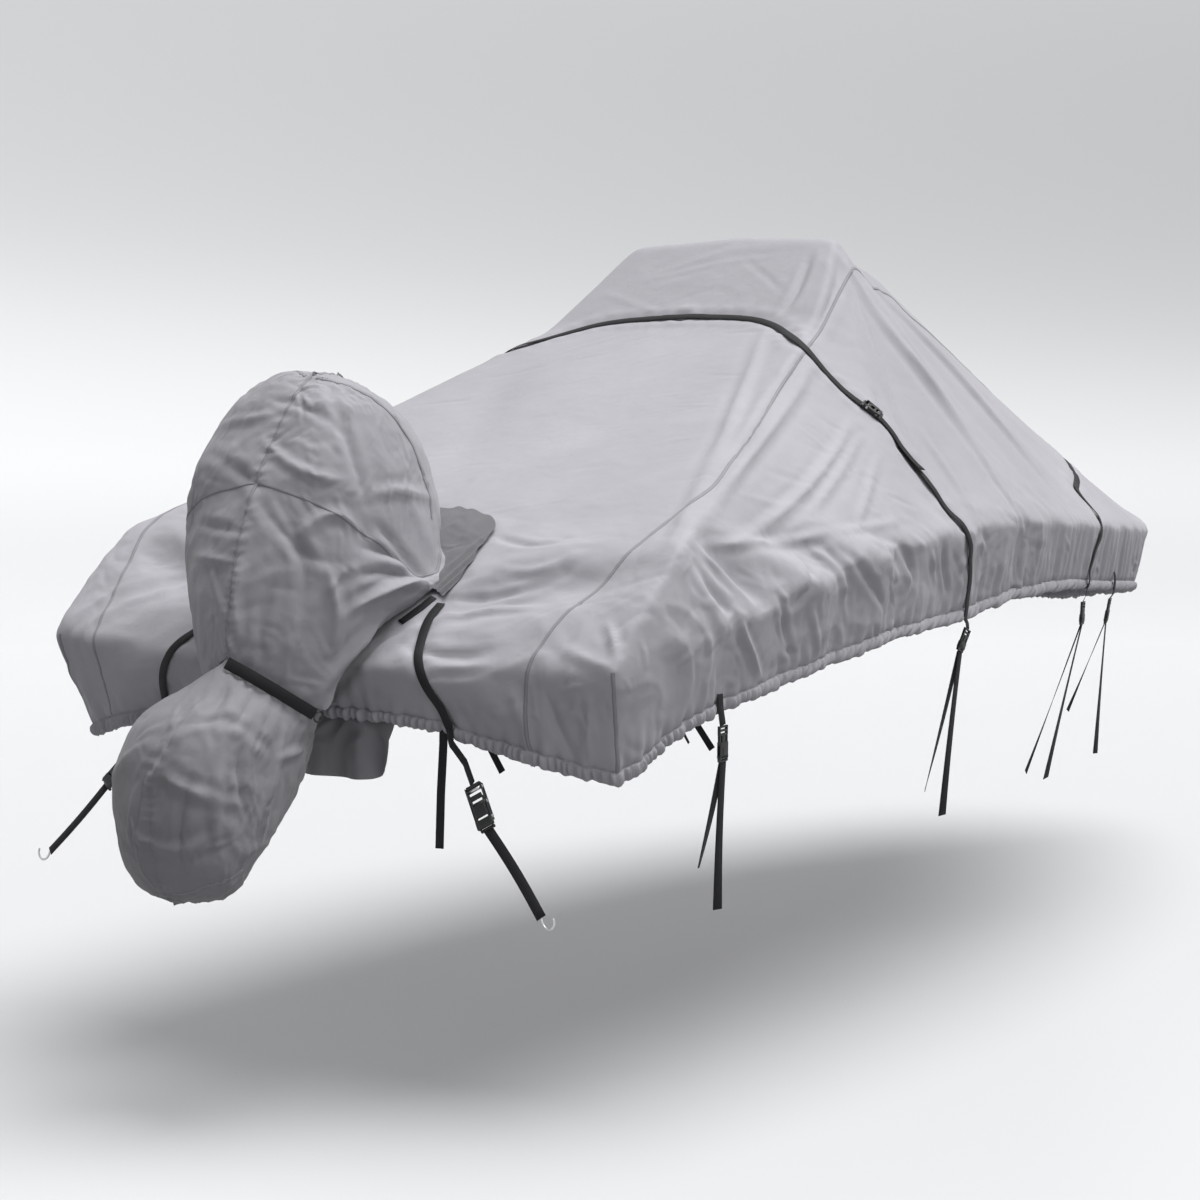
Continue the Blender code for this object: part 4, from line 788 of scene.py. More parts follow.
# %% Main folds
# On the side a and b are y and z, on the deck x and y, on the transom x and z.
Fold = namedtuple("Fold", "face start_a start_b end_a end_b width depth")
FOLDS = (
    Fold("deck", 0.34, 0.18, 0.86, 0.33, 0.050, -0.022),
    Fold("deck", 0.30, 0.26, 0.62, 0.36, 0.045, 0.016),
    Fold("deck", 0.36, 0.10, 0.70, 0.17, 0.050, 0.014),
    Fold("deck", 0.45, 0.55, 0.80, 0.95, 0.060, 0.010),
    Fold("deck", 0.10, 0.80, 0.42, 1.50, 0.080, -0.010),
    Fold("deck", 0.25, 0.60, 0.60, 1.10, 0.070, -0.009),
    Fold("side", 2.10, 2.12, 1.45, 1.38, 0.055, 0.014),
    Fold("side", 2.14, 2.12, 1.75, 1.40, 0.050, -0.012),
    Fold("side", 2.20, 2.12, 2.05, 1.40, 0.055, 0.013),
    Fold("side", 2.28, 2.10, 2.45, 1.40, 0.050, -0.012),
    Fold("side", 2.40, 2.06, 2.80, 1.38, 0.050, 0.012),
    Fold("side", 2.60, 2.00, 3.20, 1.36, 0.055, -0.012),
    Fold("side", 0.42, 1.34, 0.50, 1.14, 0.030, 0.012),
    Fold("side", 0.52, 1.36, 0.72, 1.18, 0.035, -0.020),
    Fold("side", 0.60, 1.38, 0.95, 1.22, 0.040, 0.018),
    Fold("side", 0.80, 1.36, 1.10, 1.26, 0.040, -0.016),
    Fold("side", 0.95, 1.40, 1.32, 1.26, 0.045, 0.014),
    Fold("side", 1.20, 1.38, 1.50, 1.22, 0.040, -0.014),
    Fold("transom", 0.36, 1.04, 0.66, 0.98, 0.040, 0.014),
    Fold("transom", 0.40, 0.98, 0.60, 0.88, 0.035, -0.014),
    Fold("transom", 0.74, 1.04, 0.72, 0.86, 0.035, -0.010),
    Fold("transom", 0.82, 1.04, 0.80, 0.84, 0.025, 0.008),
)


def fold_shift(points, on_deck):
    """How far the folds push each point out along its normal."""
    x, y, z = points.T
    outboard = np.abs(x)
    faces = {"side": (y, z), "deck": (outboard, y), "transom": (outboard, z)}
    on_transom = y < 0.09 + 0.1 * np.clip((outboard - 0.66) / 0.2, 0, 1)
    allowed = {"side": ~on_deck & ~on_transom, "deck": on_deck & ~on_transom,
               "transom": on_transom}
    shift = np.zeros(len(points))
    for fold in FOLDS:
        a, b = faces[fold.face]
        start = np.array([fold.start_a, fold.start_b])
        run = np.array([fold.end_a, fold.end_b]) - start
        t = np.clip(((a - start[0]) * run[0] + (b - start[1]) * run[1]) / (run @ run), 0, 1)
        off = np.hypot(a - start[0] - t * run[0], b - start[1] - t * run[1])
        shape = np.exp(-(off / fold.width)**2) * np.sin(np.pi * (0.08 + 0.84 * t))
        shift += fold.depth * shape * allowed[fold.face]
    return shift


table = np.array(SECTIONS)
edge_x = np.interp(cover.points[:, 1], table[:, 3], table[:, 2])
cover.push(fold_shift(cover.points, np.abs(cover.points[:, 0]) < edge_x - 0.01))
print(len(FOLDS), "main folds")

# %% Soften the stern's folds
fold = np.exp(-((cover.points[:, 1] - 0.10) / 0.16)**2) * np.clip(cover.above / 0.10, 0, 1)
cover.relax(40, fold)
cover.relax(4, np.clip(cover.above / 0.05, 0, 1))
print("softened", int((fold > 0.3).sum()), "points")

# %% Shape the cover
COVER_DENTS = ((0.16, 0.0075), (0.065, -0.0030))    # size and depth of the two kinds of dents
# Below the rail near the stern, along the skirt, on the deck and on the crown.
COVER_SCATTER = (
    Scatter(260, 0.13, 0.009, 0.0055, (0, 0.5, -1)),
    Scatter(420, 0.10, 0.007, 0.0045, (0, 0.2, -1)),
    Scatter(160, 0.26, 0.010, 0.0030, (1, 0.9, 0.2)),
    Scatter(110, 0.45, 0.012, 0.0030, (0.6, 1.0, -0.6)),
)
LEAST_CALM = 0.16                # the dents' share of their depth where the cloth is tight
cover.push(CREASE_GAIN * crease_shift(cover.points, COVER_CREASES, COVER_SOLID))
x, y, z = cover.points.T
rough = np.exp(-(np.maximum(y - 0.35, 0) / 0.25)**2)      # near the transom, where it sags
low_side = (np.exp(-(np.maximum(cover.above - 0.30, 0) / 0.10)**2)
            * np.exp(-(np.maximum(y - 2.2, 0) / 0.3)**2))
calm = np.maximum(np.maximum(rough, low_side), LEAST_CALM)
for seed, (size, depth) in enumerate(COVER_DENTS, start=1):
    crumple(cover, size, depth * calm, seed)
aside = np.abs(x)
skirt = cover.above < 0.34
lumpy = (cover.above < 0.46) & (y > 0.35) & (y < 2.3)
deck = (cover.above > 0.5) & (y < 1.7)
crown = (cover.above > 0.5) & (y > 1.7)
for seed, (row, part) in enumerate(zip(COVER_SCATTER, (lumpy, skirt, deck, crown)), start=1):
    cover.push(scatter(cover, seed, part, row))

# %% Gather the skirt
GATHER_PITCH, PLEAT_PITCH, RUFFLE_PITCH = 0.046, 0.085, 0.027
HEM_BAND = 0.032                 # height of the hem's double band


def gathers(cloth, seed):
    """How far the elastic's gathers push each point out."""
    along, above = cloth.along, cloth.above
    phase = along + 0.010 * wander(along, 0.11, seed)
    strength = 0.7 + 0.3 * wander(along, 0.16, seed + 1)
    forward = 1 / (1 + np.exp(-(along - 1.9) / 0.15))
    height = 0.075 + 0.035 * wander(along, 0.09, seed + 2) + 0.10 * forward
    fade = np.exp(-(above / height)**2)
    fold = np.sin(2 * np.pi * phase / GATHER_PITCH) * 0.0055 * strength
    pleat = np.sin(2 * np.pi * phase / PLEAT_PITCH + 1.1) * 0.0060 * (1.2 - strength)
    shift = (fold + pleat) * fade
    band = above < HEM_BAND
    puff = np.sqrt(np.clip(np.sin(np.pi * np.clip(above / HEM_BAND, 0, 1)), 0, 1))
    ruffle = 0.55 + 0.45 * np.sin(2 * np.pi * (phase + 0.006 * wander(along, 0.04, seed + 3)) / RUFFLE_PITCH)
    shift += np.where(band, puff * 0.0030 * ruffle, 0)
    shift -= 0.003 * np.exp(-((above - HEM_BAND) / 0.007)**2)
    return shift


near_stem = np.clip(aside / 0.10, 0, 1)
cover.push(gathers(cover, 20) * near_stem)
pulled = 0.0015 * np.sin(2 * np.pi * cover.along / RUFFLE_PITCH + 2.0) + 0.004 * wander(cover.along, 0.07, 31)
cover.points[:, 2] += pulled * np.exp(-(cover.above / 0.02)**2) * near_stem
print("gathered skirt, lowest point", round(float(cover.points[:, 2].min()), 3))

# %% [markdown]
# ## Pressed under the straps
#
# The cloth sinks a little under a tight strap and rises beside it.

# %% Press the cloth
def press(cloth, route, depth, reach):
    for side in (1, -1):
        path = np.array(route) * [side, 1, 1]
        marks = arc_lengths(path)
        fine = smooth_path(marks, path, np.linspace(0, marks[-1], 60))
        off, where = beside(cloth.points, fine)
        ripple = 1 + 0.5 * np.sin(where * arc_lengths(fine)[-1] * 2 * np.pi / 0.06)
        dip = np.exp(-(off / reach)**2)
        rise = np.exp(-((off - 2.2 * reach) / reach)**2) * ripple
        cloth.push(-depth * dip + 0.6 * depth * rise)


for route in (CROWN_STRAP, BOW_STRAP, STERN_STRAP):
    press(cover, route, 0.004, 0.018)
print("straps pressed in")

# %% [markdown]
# ## Folding the hem under
#
# A cut edge of a mesh has no thickness. Three short rows of faces turn the hem in and up
# behind itself, as the sewn hem does.

# %% Turn the hem
HEM_TURN = ((0.004, -0.001), (0.006, 0.010), (0.005, 0.028))  # how far in and how far up


def turn_hem(cloth):
    at_hem = cloth.above < 1e-6
    ids = np.flatnonzero(at_hem)
    place = np.full(len(cloth.points), -1)
    place[ids] = np.arange(len(ids))
    inward = cloth.normals()[ids] * [1, 1, 0]
    inward /= np.maximum(np.linalg.norm(inward, axis=1), 1e-9)[:, None]
    a = cloth.faces.ravel()
    b = np.roll(cloth.faces, -1, axis=1).ravel()
    edge = np.flatnonzero(at_hem[a] & at_hem[b] & (a != b))
    owners = np.repeat(cloth.owners, 4)[edge]
    low = np.stack([a[edge], b[edge]], axis=1)
    hem = cloth.points[ids].copy()
    faces, owner = [cloth.faces], [cloth.owners]
    corner = [cloth.corner]
    uv = np.stack([cloth.corner.reshape(-1, 2)[edge],
                   np.roll(cloth.corner, -1, axis=1).reshape(-1, 2)[edge]], axis=1)
    for away, up in HEM_TURN:
        start = len(cloth.points)
        cloth.points = np.vstack([cloth.points, hem - inward * away + [0, 0, up]])
        high = place[a[edge]] + start, place[b[edge]] + start
        faces.append(np.stack([low[:, 1], low[:, 0], high[0], high[1]], axis=1))
        corner.append(np.stack([uv[:, 1], uv[:, 0], uv[:, 0] + 0.01, uv[:, 1] + 0.01], axis=1))
        owner.append(owners)
        low = np.stack(high, axis=1)
    cloth.faces, cloth.corner, cloth.owners = np.vstack(faces), np.vstack(corner), np.concatenate(owner)
    more = len(cloth.points) - len(cloth.above)
    cloth.above = np.concatenate([cloth.above, np.ones(more)])
    cloth.along = np.concatenate([cloth.along, np.zeros(more)])


turn_hem(cover)
panels = [cover.panel("centre", "cover_centre", ["cover_centre_panel"], CLOTH),
          cover.panel("starboard", "cover_starboard", ["cover_starboard_panel"], CLOTH),
          cover.panel("port", "cover_port", ["cover_port_panel"], CLOTH)]
for piece in panels:
    print(piece.name, len(piece.data.polygons), "faces")

# %% [markdown]
# ## The hood
#
# The hood is two halves sewn along the middle. Each half has a crown above a yoke seam and a
# side below it. A few rings give the form, and smooth curves between them fill the mesh.

# %% Hood tables
Ring = namedtuple("Ring", "aft_y aft_z fore_y fore_z starboard port dip widest aft_square fore_square")
HOOD_CROWN = (
    Ring(0.100, 1.756, 0.190, 1.760, 0.000, 0.000, 0.00, 0.50, 2.0, 2.0),
    Ring(0.050, 1.728, 0.300, 1.712, 0.090, 0.165, -0.01, 0.42, 2.2, 1.5),
    Ring(0.005, 1.688, 0.405, 1.650, 0.135, 0.262, -0.01, 0.42, 2.6, 1.7),
    Ring(-0.045, 1.620, 0.450, 1.560, 0.180, 0.322, 0.01, 0.45, 2.8, 2.2),
    Ring(-0.090, 1.560, 0.450, 1.475, 0.212, 0.362, 0.05, 0.50, 2.8, 2.5),
)
# The yoke seam and the lower edge round the starboard half, from aft to fore.
HoodLine = namedtuple("HoodLine", "share x y z")
HOOD_YOKE = (
    HoodLine(0.00, 0.000, -0.122, 1.505),
    HoodLine(0.12, 0.090, -0.098, 1.478),
    HoodLine(0.23, 0.165, -0.053, 1.442),
    HoodLine(0.34, 0.207, 0.000, 1.397),
    HoodLine(0.44, 0.222, 0.105, 1.337),
    HoodLine(0.54, 0.240, 0.175, 1.286),
    HoodLine(0.62, 0.246, 0.236, 1.264),
    HoodLine(0.80, 0.206, 0.335, 1.342),
    HoodLine(1.00, 0.000, 0.420, 1.402),
)
HOOD_EDGE = (
    HoodLine(0.00, 0.000, -0.232, 1.090),
    HoodLine(0.12, 0.075, -0.185, 1.040),
    HoodLine(0.23, 0.155, -0.085, 0.950),
    HoodLine(0.30, 0.178, -0.032, 1.012),
    HoodLine(0.36, 0.190, -0.014, 1.062),
    HoodLine(0.42, 0.198, 0.028, 1.100),
    HoodLine(0.48, 0.207, 0.095, 1.150),
    HoodLine(0.54, 0.243, 0.165, 1.187),
    HoodLine(0.62, 0.249, 0.230, 1.226),
    HoodLine(0.80, 0.194, 0.325, 1.288),
    HoodLine(1.00, 0.000, 0.392, 1.338),
)
PORT_YOKE = 1.62                 # how much wider the yoke seam is to port
PORT_EDGE = 1.22                 # how much wider the lower edge is to port
HOOD_BULGE = 0.030               # how far the side panels belly out
HOOD_ROWS = 5                    # rows in a side panel
HOOD_COLUMNS = 12                # columns in each half
HOOD_LUMP = (-0.10, 0.12, 1.76, 0.11, 0.030)  # x, y, z, reach and height of the crown's lump
LEG_SLEEVE = (
    Ring(-0.357, 1.000, 0.000, 0.850, 0.155, 0.175, 0.0, 0.42, 2.5, 2.2),
    Ring(-0.449, 0.930, -0.050, 0.760, 0.170, 0.195, 0.0, 0.40, 2.6, 2.2),
    Ring(-0.490, 0.840, -0.115, 0.690, 0.170, 0.200, 0.0, 0.40, 2.6, 2.2),
    Ring(-0.500, 0.740, -0.180, 0.630, 0.162, 0.190, 0.0, 0.42, 2.6, 2.2),
    Ring(-0.485, 0.635, -0.245, 0.570, 0.140, 0.165, 0.0, 0.45, 2.6, 2.2),
    Ring(-0.445, 0.555, -0.310, 0.535, 0.095, 0.110, 0.0, 0.50, 2.4, 2.2),
    Ring(-0.420, 0.528, -0.335, 0.524, 0.000, 0.000, 0.0, 0.50, 2.0, 2.0),
)
SLEEVE_SEWN = 3                  # columns of the hood's lower edge that the sleeve joins
SLEEVE_DROP = 0.003              # how far the sleeve's top starts below that edge
SLEEVE_FRONT = ((0.120, -0.035, 0.930), (0.000, -0.020, 0.912))
print(len(HOOD_CROWN) + len(LEG_SLEEVE), "rings in the hood and the sleeve")

# %% Build the hood and the sleeve
HOOD_ACROSS = 130                # mesh columns in each half of the hood


def ring_curve(ring, count, half_width):
    """Half of a hood ring, from its aft point round one side to its fore point."""
    aft = np.array([0, ring.aft_y, ring.aft_z])
    fore = np.array([0, ring.fore_y, ring.fore_z])
    middle = aft + (fore - aft) * ring.widest
    angle = np.linspace(0, math.pi, 120)
    reach = np.abs(np.cos(angle))
    wide = np.sin(angle)
    behind = angle < math.pi / 2
    square = np.where(behind, ring.aft_square, ring.fore_square)
    reach, wide = reach**(2 / square), wide**(2 / square)
    end = np.where(behind[:, None], aft, fore)
    path = middle + (end - middle) * reach[:, None]
    path[:, 0] = half_width * wide
    path[:, 2] -= ring.dip * wide
    path[0], path[-1] = aft, fore
    return even_steps(path, count)


def hood_line(table, share, widen):
    """The yoke seam or the lower edge, read at shares of the way round one half."""
    table = np.array(table)
    line = smooth_path(table[:, 0], table[:, 1:], share)
    line[:, 0] *= widen
    return line


def hood_side(yoke, share, widen):
    """One side panel of the hood, from the yoke seam down to its lower edge."""
    lower = hood_line(HOOD_EDGE, share, widen)
    outwards = yoke - yoke.mean(axis=0) * np.array([0, 1, 0])
    outwards[:, 2] = 0
    outwards /= np.linalg.norm(outwards, axis=1)[:, None]
    rows = []
    for t in np.linspace(0, 1, HOOD_ROWS + 1):
        bulge = HOOD_BULGE * math.sin(math.pi * t) * (1 - share**3)
        row = yoke + (lower - yoke) * t + outwards * bulge[:, None]
        row[0, 0] = row[-1, 0] = 0
        rows.append(row)
    return np.array(rows)


def sleeve_top(widen):
    """The sleeve's top edge: along the hood's lower edge, then across in front of the motor."""
    share = np.linspace(0, 1, HOOD_COLUMNS + 1)[:SLEEVE_SEWN + 1]
    path = np.vstack([hood_line(HOOD_EDGE, share, widen) - [0, 0, SLEEVE_DROP], SLEEVE_FRONT])
    return even_steps(path, HOOD_COLUMNS)


def hood_halves():
    hood, sleeve = Cloth(), Cloth()
    share = np.linspace(0, 1, HOOD_COLUMNS + 1)
    for sign, name in ((1, "starboard"), (-1, "port")):
        turn = np.array([sign, 1, 1])
        wide_yoke, wide_edge = (1.0, 1.0) if sign > 0 else (PORT_YOKE, PORT_EDGE)
        yoke = hood_line(HOOD_YOKE, share, wide_yoke)
        rings, leg_rings = ([ring_curve(ring, HOOD_COLUMNS, getattr(ring, name)) for ring in table]
                            for table in (HOOD_CROWN, LEG_SLEEVE))
        crown = np.stack(rings + [yoke])
        side = hood_side(yoke, share, wide_edge)
        leg = np.stack([sleeve_top(wide_edge)] + leg_rings)
        whole = refine(np.vstack([crown, side[1:]]), HOOD_DOWN, HOOD_ACROSS)
        split = round(HOOD_DOWN * (len(crown) - 1) / (len(crown) + len(side) - 2))
        for grid, panel, cloth in ((whole[:split + 1], "crown_" + name, hood),
                                   (whole[split:], "side_" + name, hood),
                                   (refine(leg, LEG_DOWN, HOOD_ACROSS), "leg_" + name, sleeve)):
            around, down = from_edge(grid, "first"), from_edge(grid.swapaxes(0, 1), "last").T
            cloth.add_grid(grid * turn, panel, sign > 0, above=down, along=around, u=around, v=down)
    hood.finish()
    sleeve.finish()
    return hood, sleeve


HOOD_DOWN, LEG_DOWN = 130, 96    # mesh rows of the hood and of the sleeve
hood, sleeve = hood_halves()
print(len(hood.points), "points in the hood and", len(sleeve.points), "in the sleeve")

# %% [markdown]
# ## Creases of the hood
#
# The side panels hang in long soft folds from the yoke seam, which pull together at the
# front corner. The waist strap gathers the cloth above and below it. The seam over the top
# puckers, so short ripples run across it on both sides.

# %% Shape the hood
HOOD_CREASES = (
    Crease(0.014, -0.006, ((420, 580), (380, 572), (340, 585))),
    Crease(0.014, 0.006, ((421, 583), (385, 590), (345, 615))),
    Crease(0.013, -0.005, ((422, 577), (390, 555), (360, 548))),
    Crease(0.013, 0.005, ((240, 640), (235, 600), (245, 560))),
    Crease(0.013, -0.005, ((262, 660), (262, 620), (275, 575))),
    Crease(0.013, 0.005, ((285, 675), (292, 640), (310, 600))),
    Crease(0.012, 0.004, ((228, 620), (215, 585), (210, 545))),
    Crease(0.014, 0.005, ((262, 440), (300, 470), (340, 480))),
    Crease(0.013, -0.004, ((272, 400), (310, 410), (350, 440))),
    Crease(0.016, 0.006, ((358, 605), (399, 586), (426, 582))),
    Crease(0.02, 0.008, ((313, 695), (358, 645), (385, 618))),
    Crease(0.016, -0.006, ((258, 500), (295, 545), (331, 564))),
    Crease(0.016, 0.006, ((295, 541), (331, 514), (358, 532))),
    Crease(0.016, -0.005, ((329, 386), (340, 414), (354, 464), (367, 505))),
    Crease(0.015, 0.005, ((367, 495), (404, 491), (431, 500))),
    Crease(0.016, -0.006, ((376, 523), (399, 550), (426, 577))),
    Crease(0.014, 0.004, ((222, 427), (258, 418), (276, 414))),
    Crease(0.016, -0.005, ((213, 455), (254, 482), (258, 491))),
    Crease(0.013, -0.004, ((199, 523), (240, 532))),
    Crease(0.013, 0.004, ((195, 555), (235, 564))),
    Crease(0.018, -0.007, ((276, 500), (304, 564), (295, 632))),
    Crease(0.018, 0.007, ((322, 559), (335, 605), (331, 650))),
)
LEG_CREASES = (
    Crease(0.014, 0.006, ((205, 700), (175, 740), (150, 790))),
    Crease(0.014, -0.006, ((260, 700), (240, 760), (250, 820))),
    Crease(0.014, 0.006, ((225, 760), (215, 810), (220, 860))),
    Crease(0.013, -0.005, ((190, 780), (180, 830), (185, 875))),
    Crease(0.013, 0.005, ((285, 730), (270, 790), (262, 840))),
    Crease(0.012, -0.005, ((150, 760), (140, 800), (135, 850))),
    Crease(0.018, -0.008, ((229, 668), (222, 695), (190, 759))),
    Crease(0.018, 0.008, ((240, 668), (267, 695), (308, 714))),
    Crease(0.016, -0.006, ((176, 732), (222, 723), (267, 750))),
    Crease(0.016, 0.006, ((158, 773), (199, 795), (249, 805))),
    Crease(0.013, -0.005, ((254, 695), (235, 727))),
    Crease(0.013, 0.005, ((276, 759), (304, 750))),
    Crease(0.016, 0.006, ((126, 827), (176, 850), (231, 823))),
)
HOOD_DENTS = ((0.15, 0.0062), (0.055, -0.0026))
SLEEVE_DENTS = ((0.16, 0.0085), (0.06, -0.0028))
HOOD_SCATTER = Scatter(340, 0.15, 0.0062, 0.0058, (0.3, 0.3, -1))
CREST_SCATTER = Scatter(170, 0.14, 0.006, 0.0045, (1, 0.6, 0.1))
SLEEVE_SCATTER = Scatter(260, 0.15, 0.0065, 0.0062, (0.3, -0.3, -1))
HOOD_SHOULDER = 1.45             # the creases of the crest lie above this height
away = np.linalg.norm(hood.points - np.array(HOOD_LUMP[:3]), axis=1)
hood.points[:, 2] += HOOD_LUMP[4] * np.exp(-(away / HOOD_LUMP[3])**2)
hood.push(CREASE_GAIN * crease_shift(hood.points, HOOD_CREASES, HOOD_SOLID))
for seed, (size, depth) in enumerate(HOOD_DENTS, start=3):
    crumple(hood, size, depth, seed)
for seed, low, row in ((5, 0, HOOD_SCATTER), (6, HOOD_SHOULDER, CREST_SCATTER)):
    hood.push(scatter(hood, seed, hood.points[:, 2] > low, row))
sleeve.push(CREASE_GAIN * crease_shift(sleeve.points, LEG_CREASES, SLEEVE_SOLID))
for seed, (size, depth) in enumerate(SLEEVE_DENTS, start=5):
    crumple(sleeve, size, depth, seed)
sleeve.push(scatter(sleeve, 7, sleeve.points[:, 2] > 0, SLEEVE_SCATTER))


def pucker(cloth, reach, depth, pitch):
    """Short ripples across the middle seam."""
    off = np.abs(cloth.points[:, 0])
    run = cloth.points[:, 2] * 1.3 - cloth.points[:, 1] * 0.8
    ripple = np.sin(2 * np.pi * run / pitch + 2 * wander(run, 0.05, 41))
    cloth.push(depth * ripple * np.exp(-(off / reach)**2) - depth * np.exp(-(off / 0.006)**2))


pucker(hood, 0.022, 0.0018, 0.024)
pucker(sleeve, 0.022, 0.0020, 0.028)


def gather_at(cloth, path, amount, reach, pitch):
    """Ripples that run out from a strap drawn round the cloth."""
    fine = even_steps(path, 59)
    off, where = beside(cloth.points, fine)
    run = where * arc_lengths(fine)[-1]
    ripple = np.sin(2 * np.pi * run / pitch + 2.5 * wander(run, 0.06, 43))
    cloth.push(amount * ripple * np.exp(-off / reach) - 1.2 * amount * np.exp(-(off / 0.02)**2))


waist = np.array(WAIST_STRAP)
whole_waist = np.vstack([waist[:0:-1] * [-1, 1, 1], waist])
gather_at(hood, whole_waist, 0.0040, 0.05, 0.034)
gather_at(sleeve, whole_waist, 0.0050, 0.05, 0.034)
hood_trees, sleeve_tree = [hood.tree()], sleeve.tree()
for panel in ("crown_starboard", "crown_port", "side_starboard", "side_port"):
    hood.panel(panel, "hood_" + panel + "_cloth", ["hood_" + panel], HOOD_SHADED_CLOTH)
for name in ("starboard", "port"):
    sleeve.panel("leg_" + name, "leg_sleeve_" + name + "_cloth",
                                         ["leg_sleeve_" + name], SLEEVE_SHADED_CLOTH)

# %% [markdown]
# ## Loose flaps
#
# A short flap closes the gap in front of the motor, and another hangs below the hem behind
# it. Each is a grid between an upper and a lower edge, with soft folds along its length.

# %% Flaps
Flap = namedtuple("Flap", "name upper lower belly steps rests pitch fold flat area held")
FLAPS = (
    Flap("hood_front_flap",
         ((-0.020, 0.476, 1.385), (0.145, 0.462, 1.379), (0.258, 0.360, 1.325), (0.284, 0.222, 1.231)),
         ((-0.020, 0.570, 1.419), (0.100, 0.560, 1.417), (0.200, 0.525, 1.404), (0.270, 0.484, 1.387),
          (0.303, 0.430, 1.361), (0.312, 0.350, 1.320), (0.326, 0.290, 1.276), (0.312, 0.213, 1.219)),
         (0.0, 0.0, 0.010), 10, True, 0.09, 0.006, (0.62, 0.20), 0.075, "stretched"),
    Flap("hood_transom_flap",
         ((-0.265, 0.0895, 0.945), (0.265, 0.0895, 0.945)),
         ((-0.250, 0.080, 0.778), (0.160, 0.080, 0.772), (0.215, 0.080, 0.780), (0.235, 0.080, 0.800)),
         (0.0, -0.006, 0.0), 8, False, 0.13, 0.016, (0.56, 0.18), 0.090, "hung"),
)
FLAP_ROWS = 4
FLAP_SCATTER = Scatter(26, 0.10, 0.009, 0.0035, (0.4, 0.3, -1))
FLAP_DENTS = (0.09, 0.006, 0.014)  # size of the dents, and depth on the front and transom flap
FLAP_GAP = 0.004                 # how far the front flap lies off the deck
FLAP_TUCK = 0.9                  # how far the front flap goes on under the hood, by its own height


def flap_cloth(flap, seed):
    marks = [even_steps(np.array(edge), flap.steps) for edge in (flap.upper, flap.lower)]
    if flap.rests:
        marks[0] = (1 + FLAP_TUCK) * marks[0] - FLAP_TUCK * marks[1]
    across = np.sin(np.pi * np.linspace(0, 1, flap.steps + 1))[:, None]
    coarse = [marks[0] + (marks[1] - marks[0]) * v + across * np.array(flap.belly) * math.sin(math.pi * v / 2)
              for v in np.linspace(0, 1, FLAP_ROWS + 1)]
    grid = refine(coarse, FLAP_DOWN, FLAP_ACROSS)
    around, down = from_edge(grid, "first"), from_edge(grid.swapaxes(0, 1), "last").T
    cloth = Cloth()
    cloth.add_grid(grid, "flap", not flap.rests, above=down, along=around, u=around, v=down)
    cloth.finish()
    run, reach = cloth.along, np.clip(cloth.above / FLAP_FOLD, 0, 1)
    fold = np.sin(2 * np.pi * run / flap.pitch + 2 * wander(run, flap.pitch, seed))
    if flap.rests:
        fold = 0.5 + 0.5 * fold
    cloth.push(flap.fold * fold * (1 - 0.4 * reach))
    cloth.push(scatter(cloth, seed + 1, cloth.above > 0, FLAP_SCATTER))
    crumple(cloth, FLAP_DENTS[0], FLAP_DENTS[1 if flap.rests else 2] * reach, seed)
    if flap.rests:
        rest_on(cloth, cover.tree(), FLAP_GAP)
    return cloth


def rest_on(cloth, tree, gap):
    """Lift a sheet clear of the cloth that it lies on."""
    for k, point in enumerate(cloth.points.tolist()):
        spot, face, _, _ = tree.find_nearest(Vector(point))
        height = (Vector(point) - spot).dot(face)
        if height < gap:
            cloth.points[k] += np.array(face * (gap - height))


FLAP_DOWN, FLAP_ACROSS = 30, 90
FLAP_FOLD = 0.12                 # height over which a flap's folds fade
for seed, flap in zip((51, 53), FLAPS):
    cloth = flap_cloth(flap, seed)
    # Painted shade: the front flap takes the much darker shaded cloth, and the transom flap the sleeve's
    # darker cloth, both for the shade they hang in.
    finish = SHADE_CLOTH if flap.rests else SLEEVE_SHADED_CLOTH
    cloth.panel("flap", flap.name + "_cloth", [flap.name], finish)
    if flap.rests:
        hood_trees.append(cloth.tree())

# %% [markdown]
# ## The elastic hem
#
# The hem is a narrow channel with elastic in it. The elastic bunches it into small ruffles,
# a few to the width of a hand, and no two are alike. It is a band of its own along the
# lowest part of the cloth, finer than the mesh above it.

# %% Elastic hem
HEM_STEP, HEM_ROUND, HEM_PUFF = 0.0042, 10, 0.0068
HEM_AROUND = 0.05                # flat width of the band
HEM_RUFFLES = ((0.0220, 0.0085), (0.0130, 0.0042))  # pitch and height of its ruffles


def level_line(cloth, height, side):
    """Where the cloth lies a given height above its hem, from transom to bow, on one half."""
    a = cloth.faces.ravel()
    b = np.roll(cloth.faces, -1, axis=1).ravel()
    up_a, up_b = cloth.above[a] - height, cloth.above[b] - height
    cut = (up_a < 0) & (up_b >= 0) & (cloth.points[a, 0] * side > 0) & (up_b < 0.05)
    a, b, t = a[cut], b[cut], (up_a[cut] / (up_a[cut] - up_b[cut]))[:, None]
    points = cloth.points[a] * (1 - t) + cloth.points[b] * t
    along = cloth.along[a] * (1 - t[:, 0]) + cloth.along[b] * t[:, 0]
    order = np.argsort(along)
    keep = np.concatenate([[True], np.diff(along[order]) > 0.002])
    return points[order][keep]


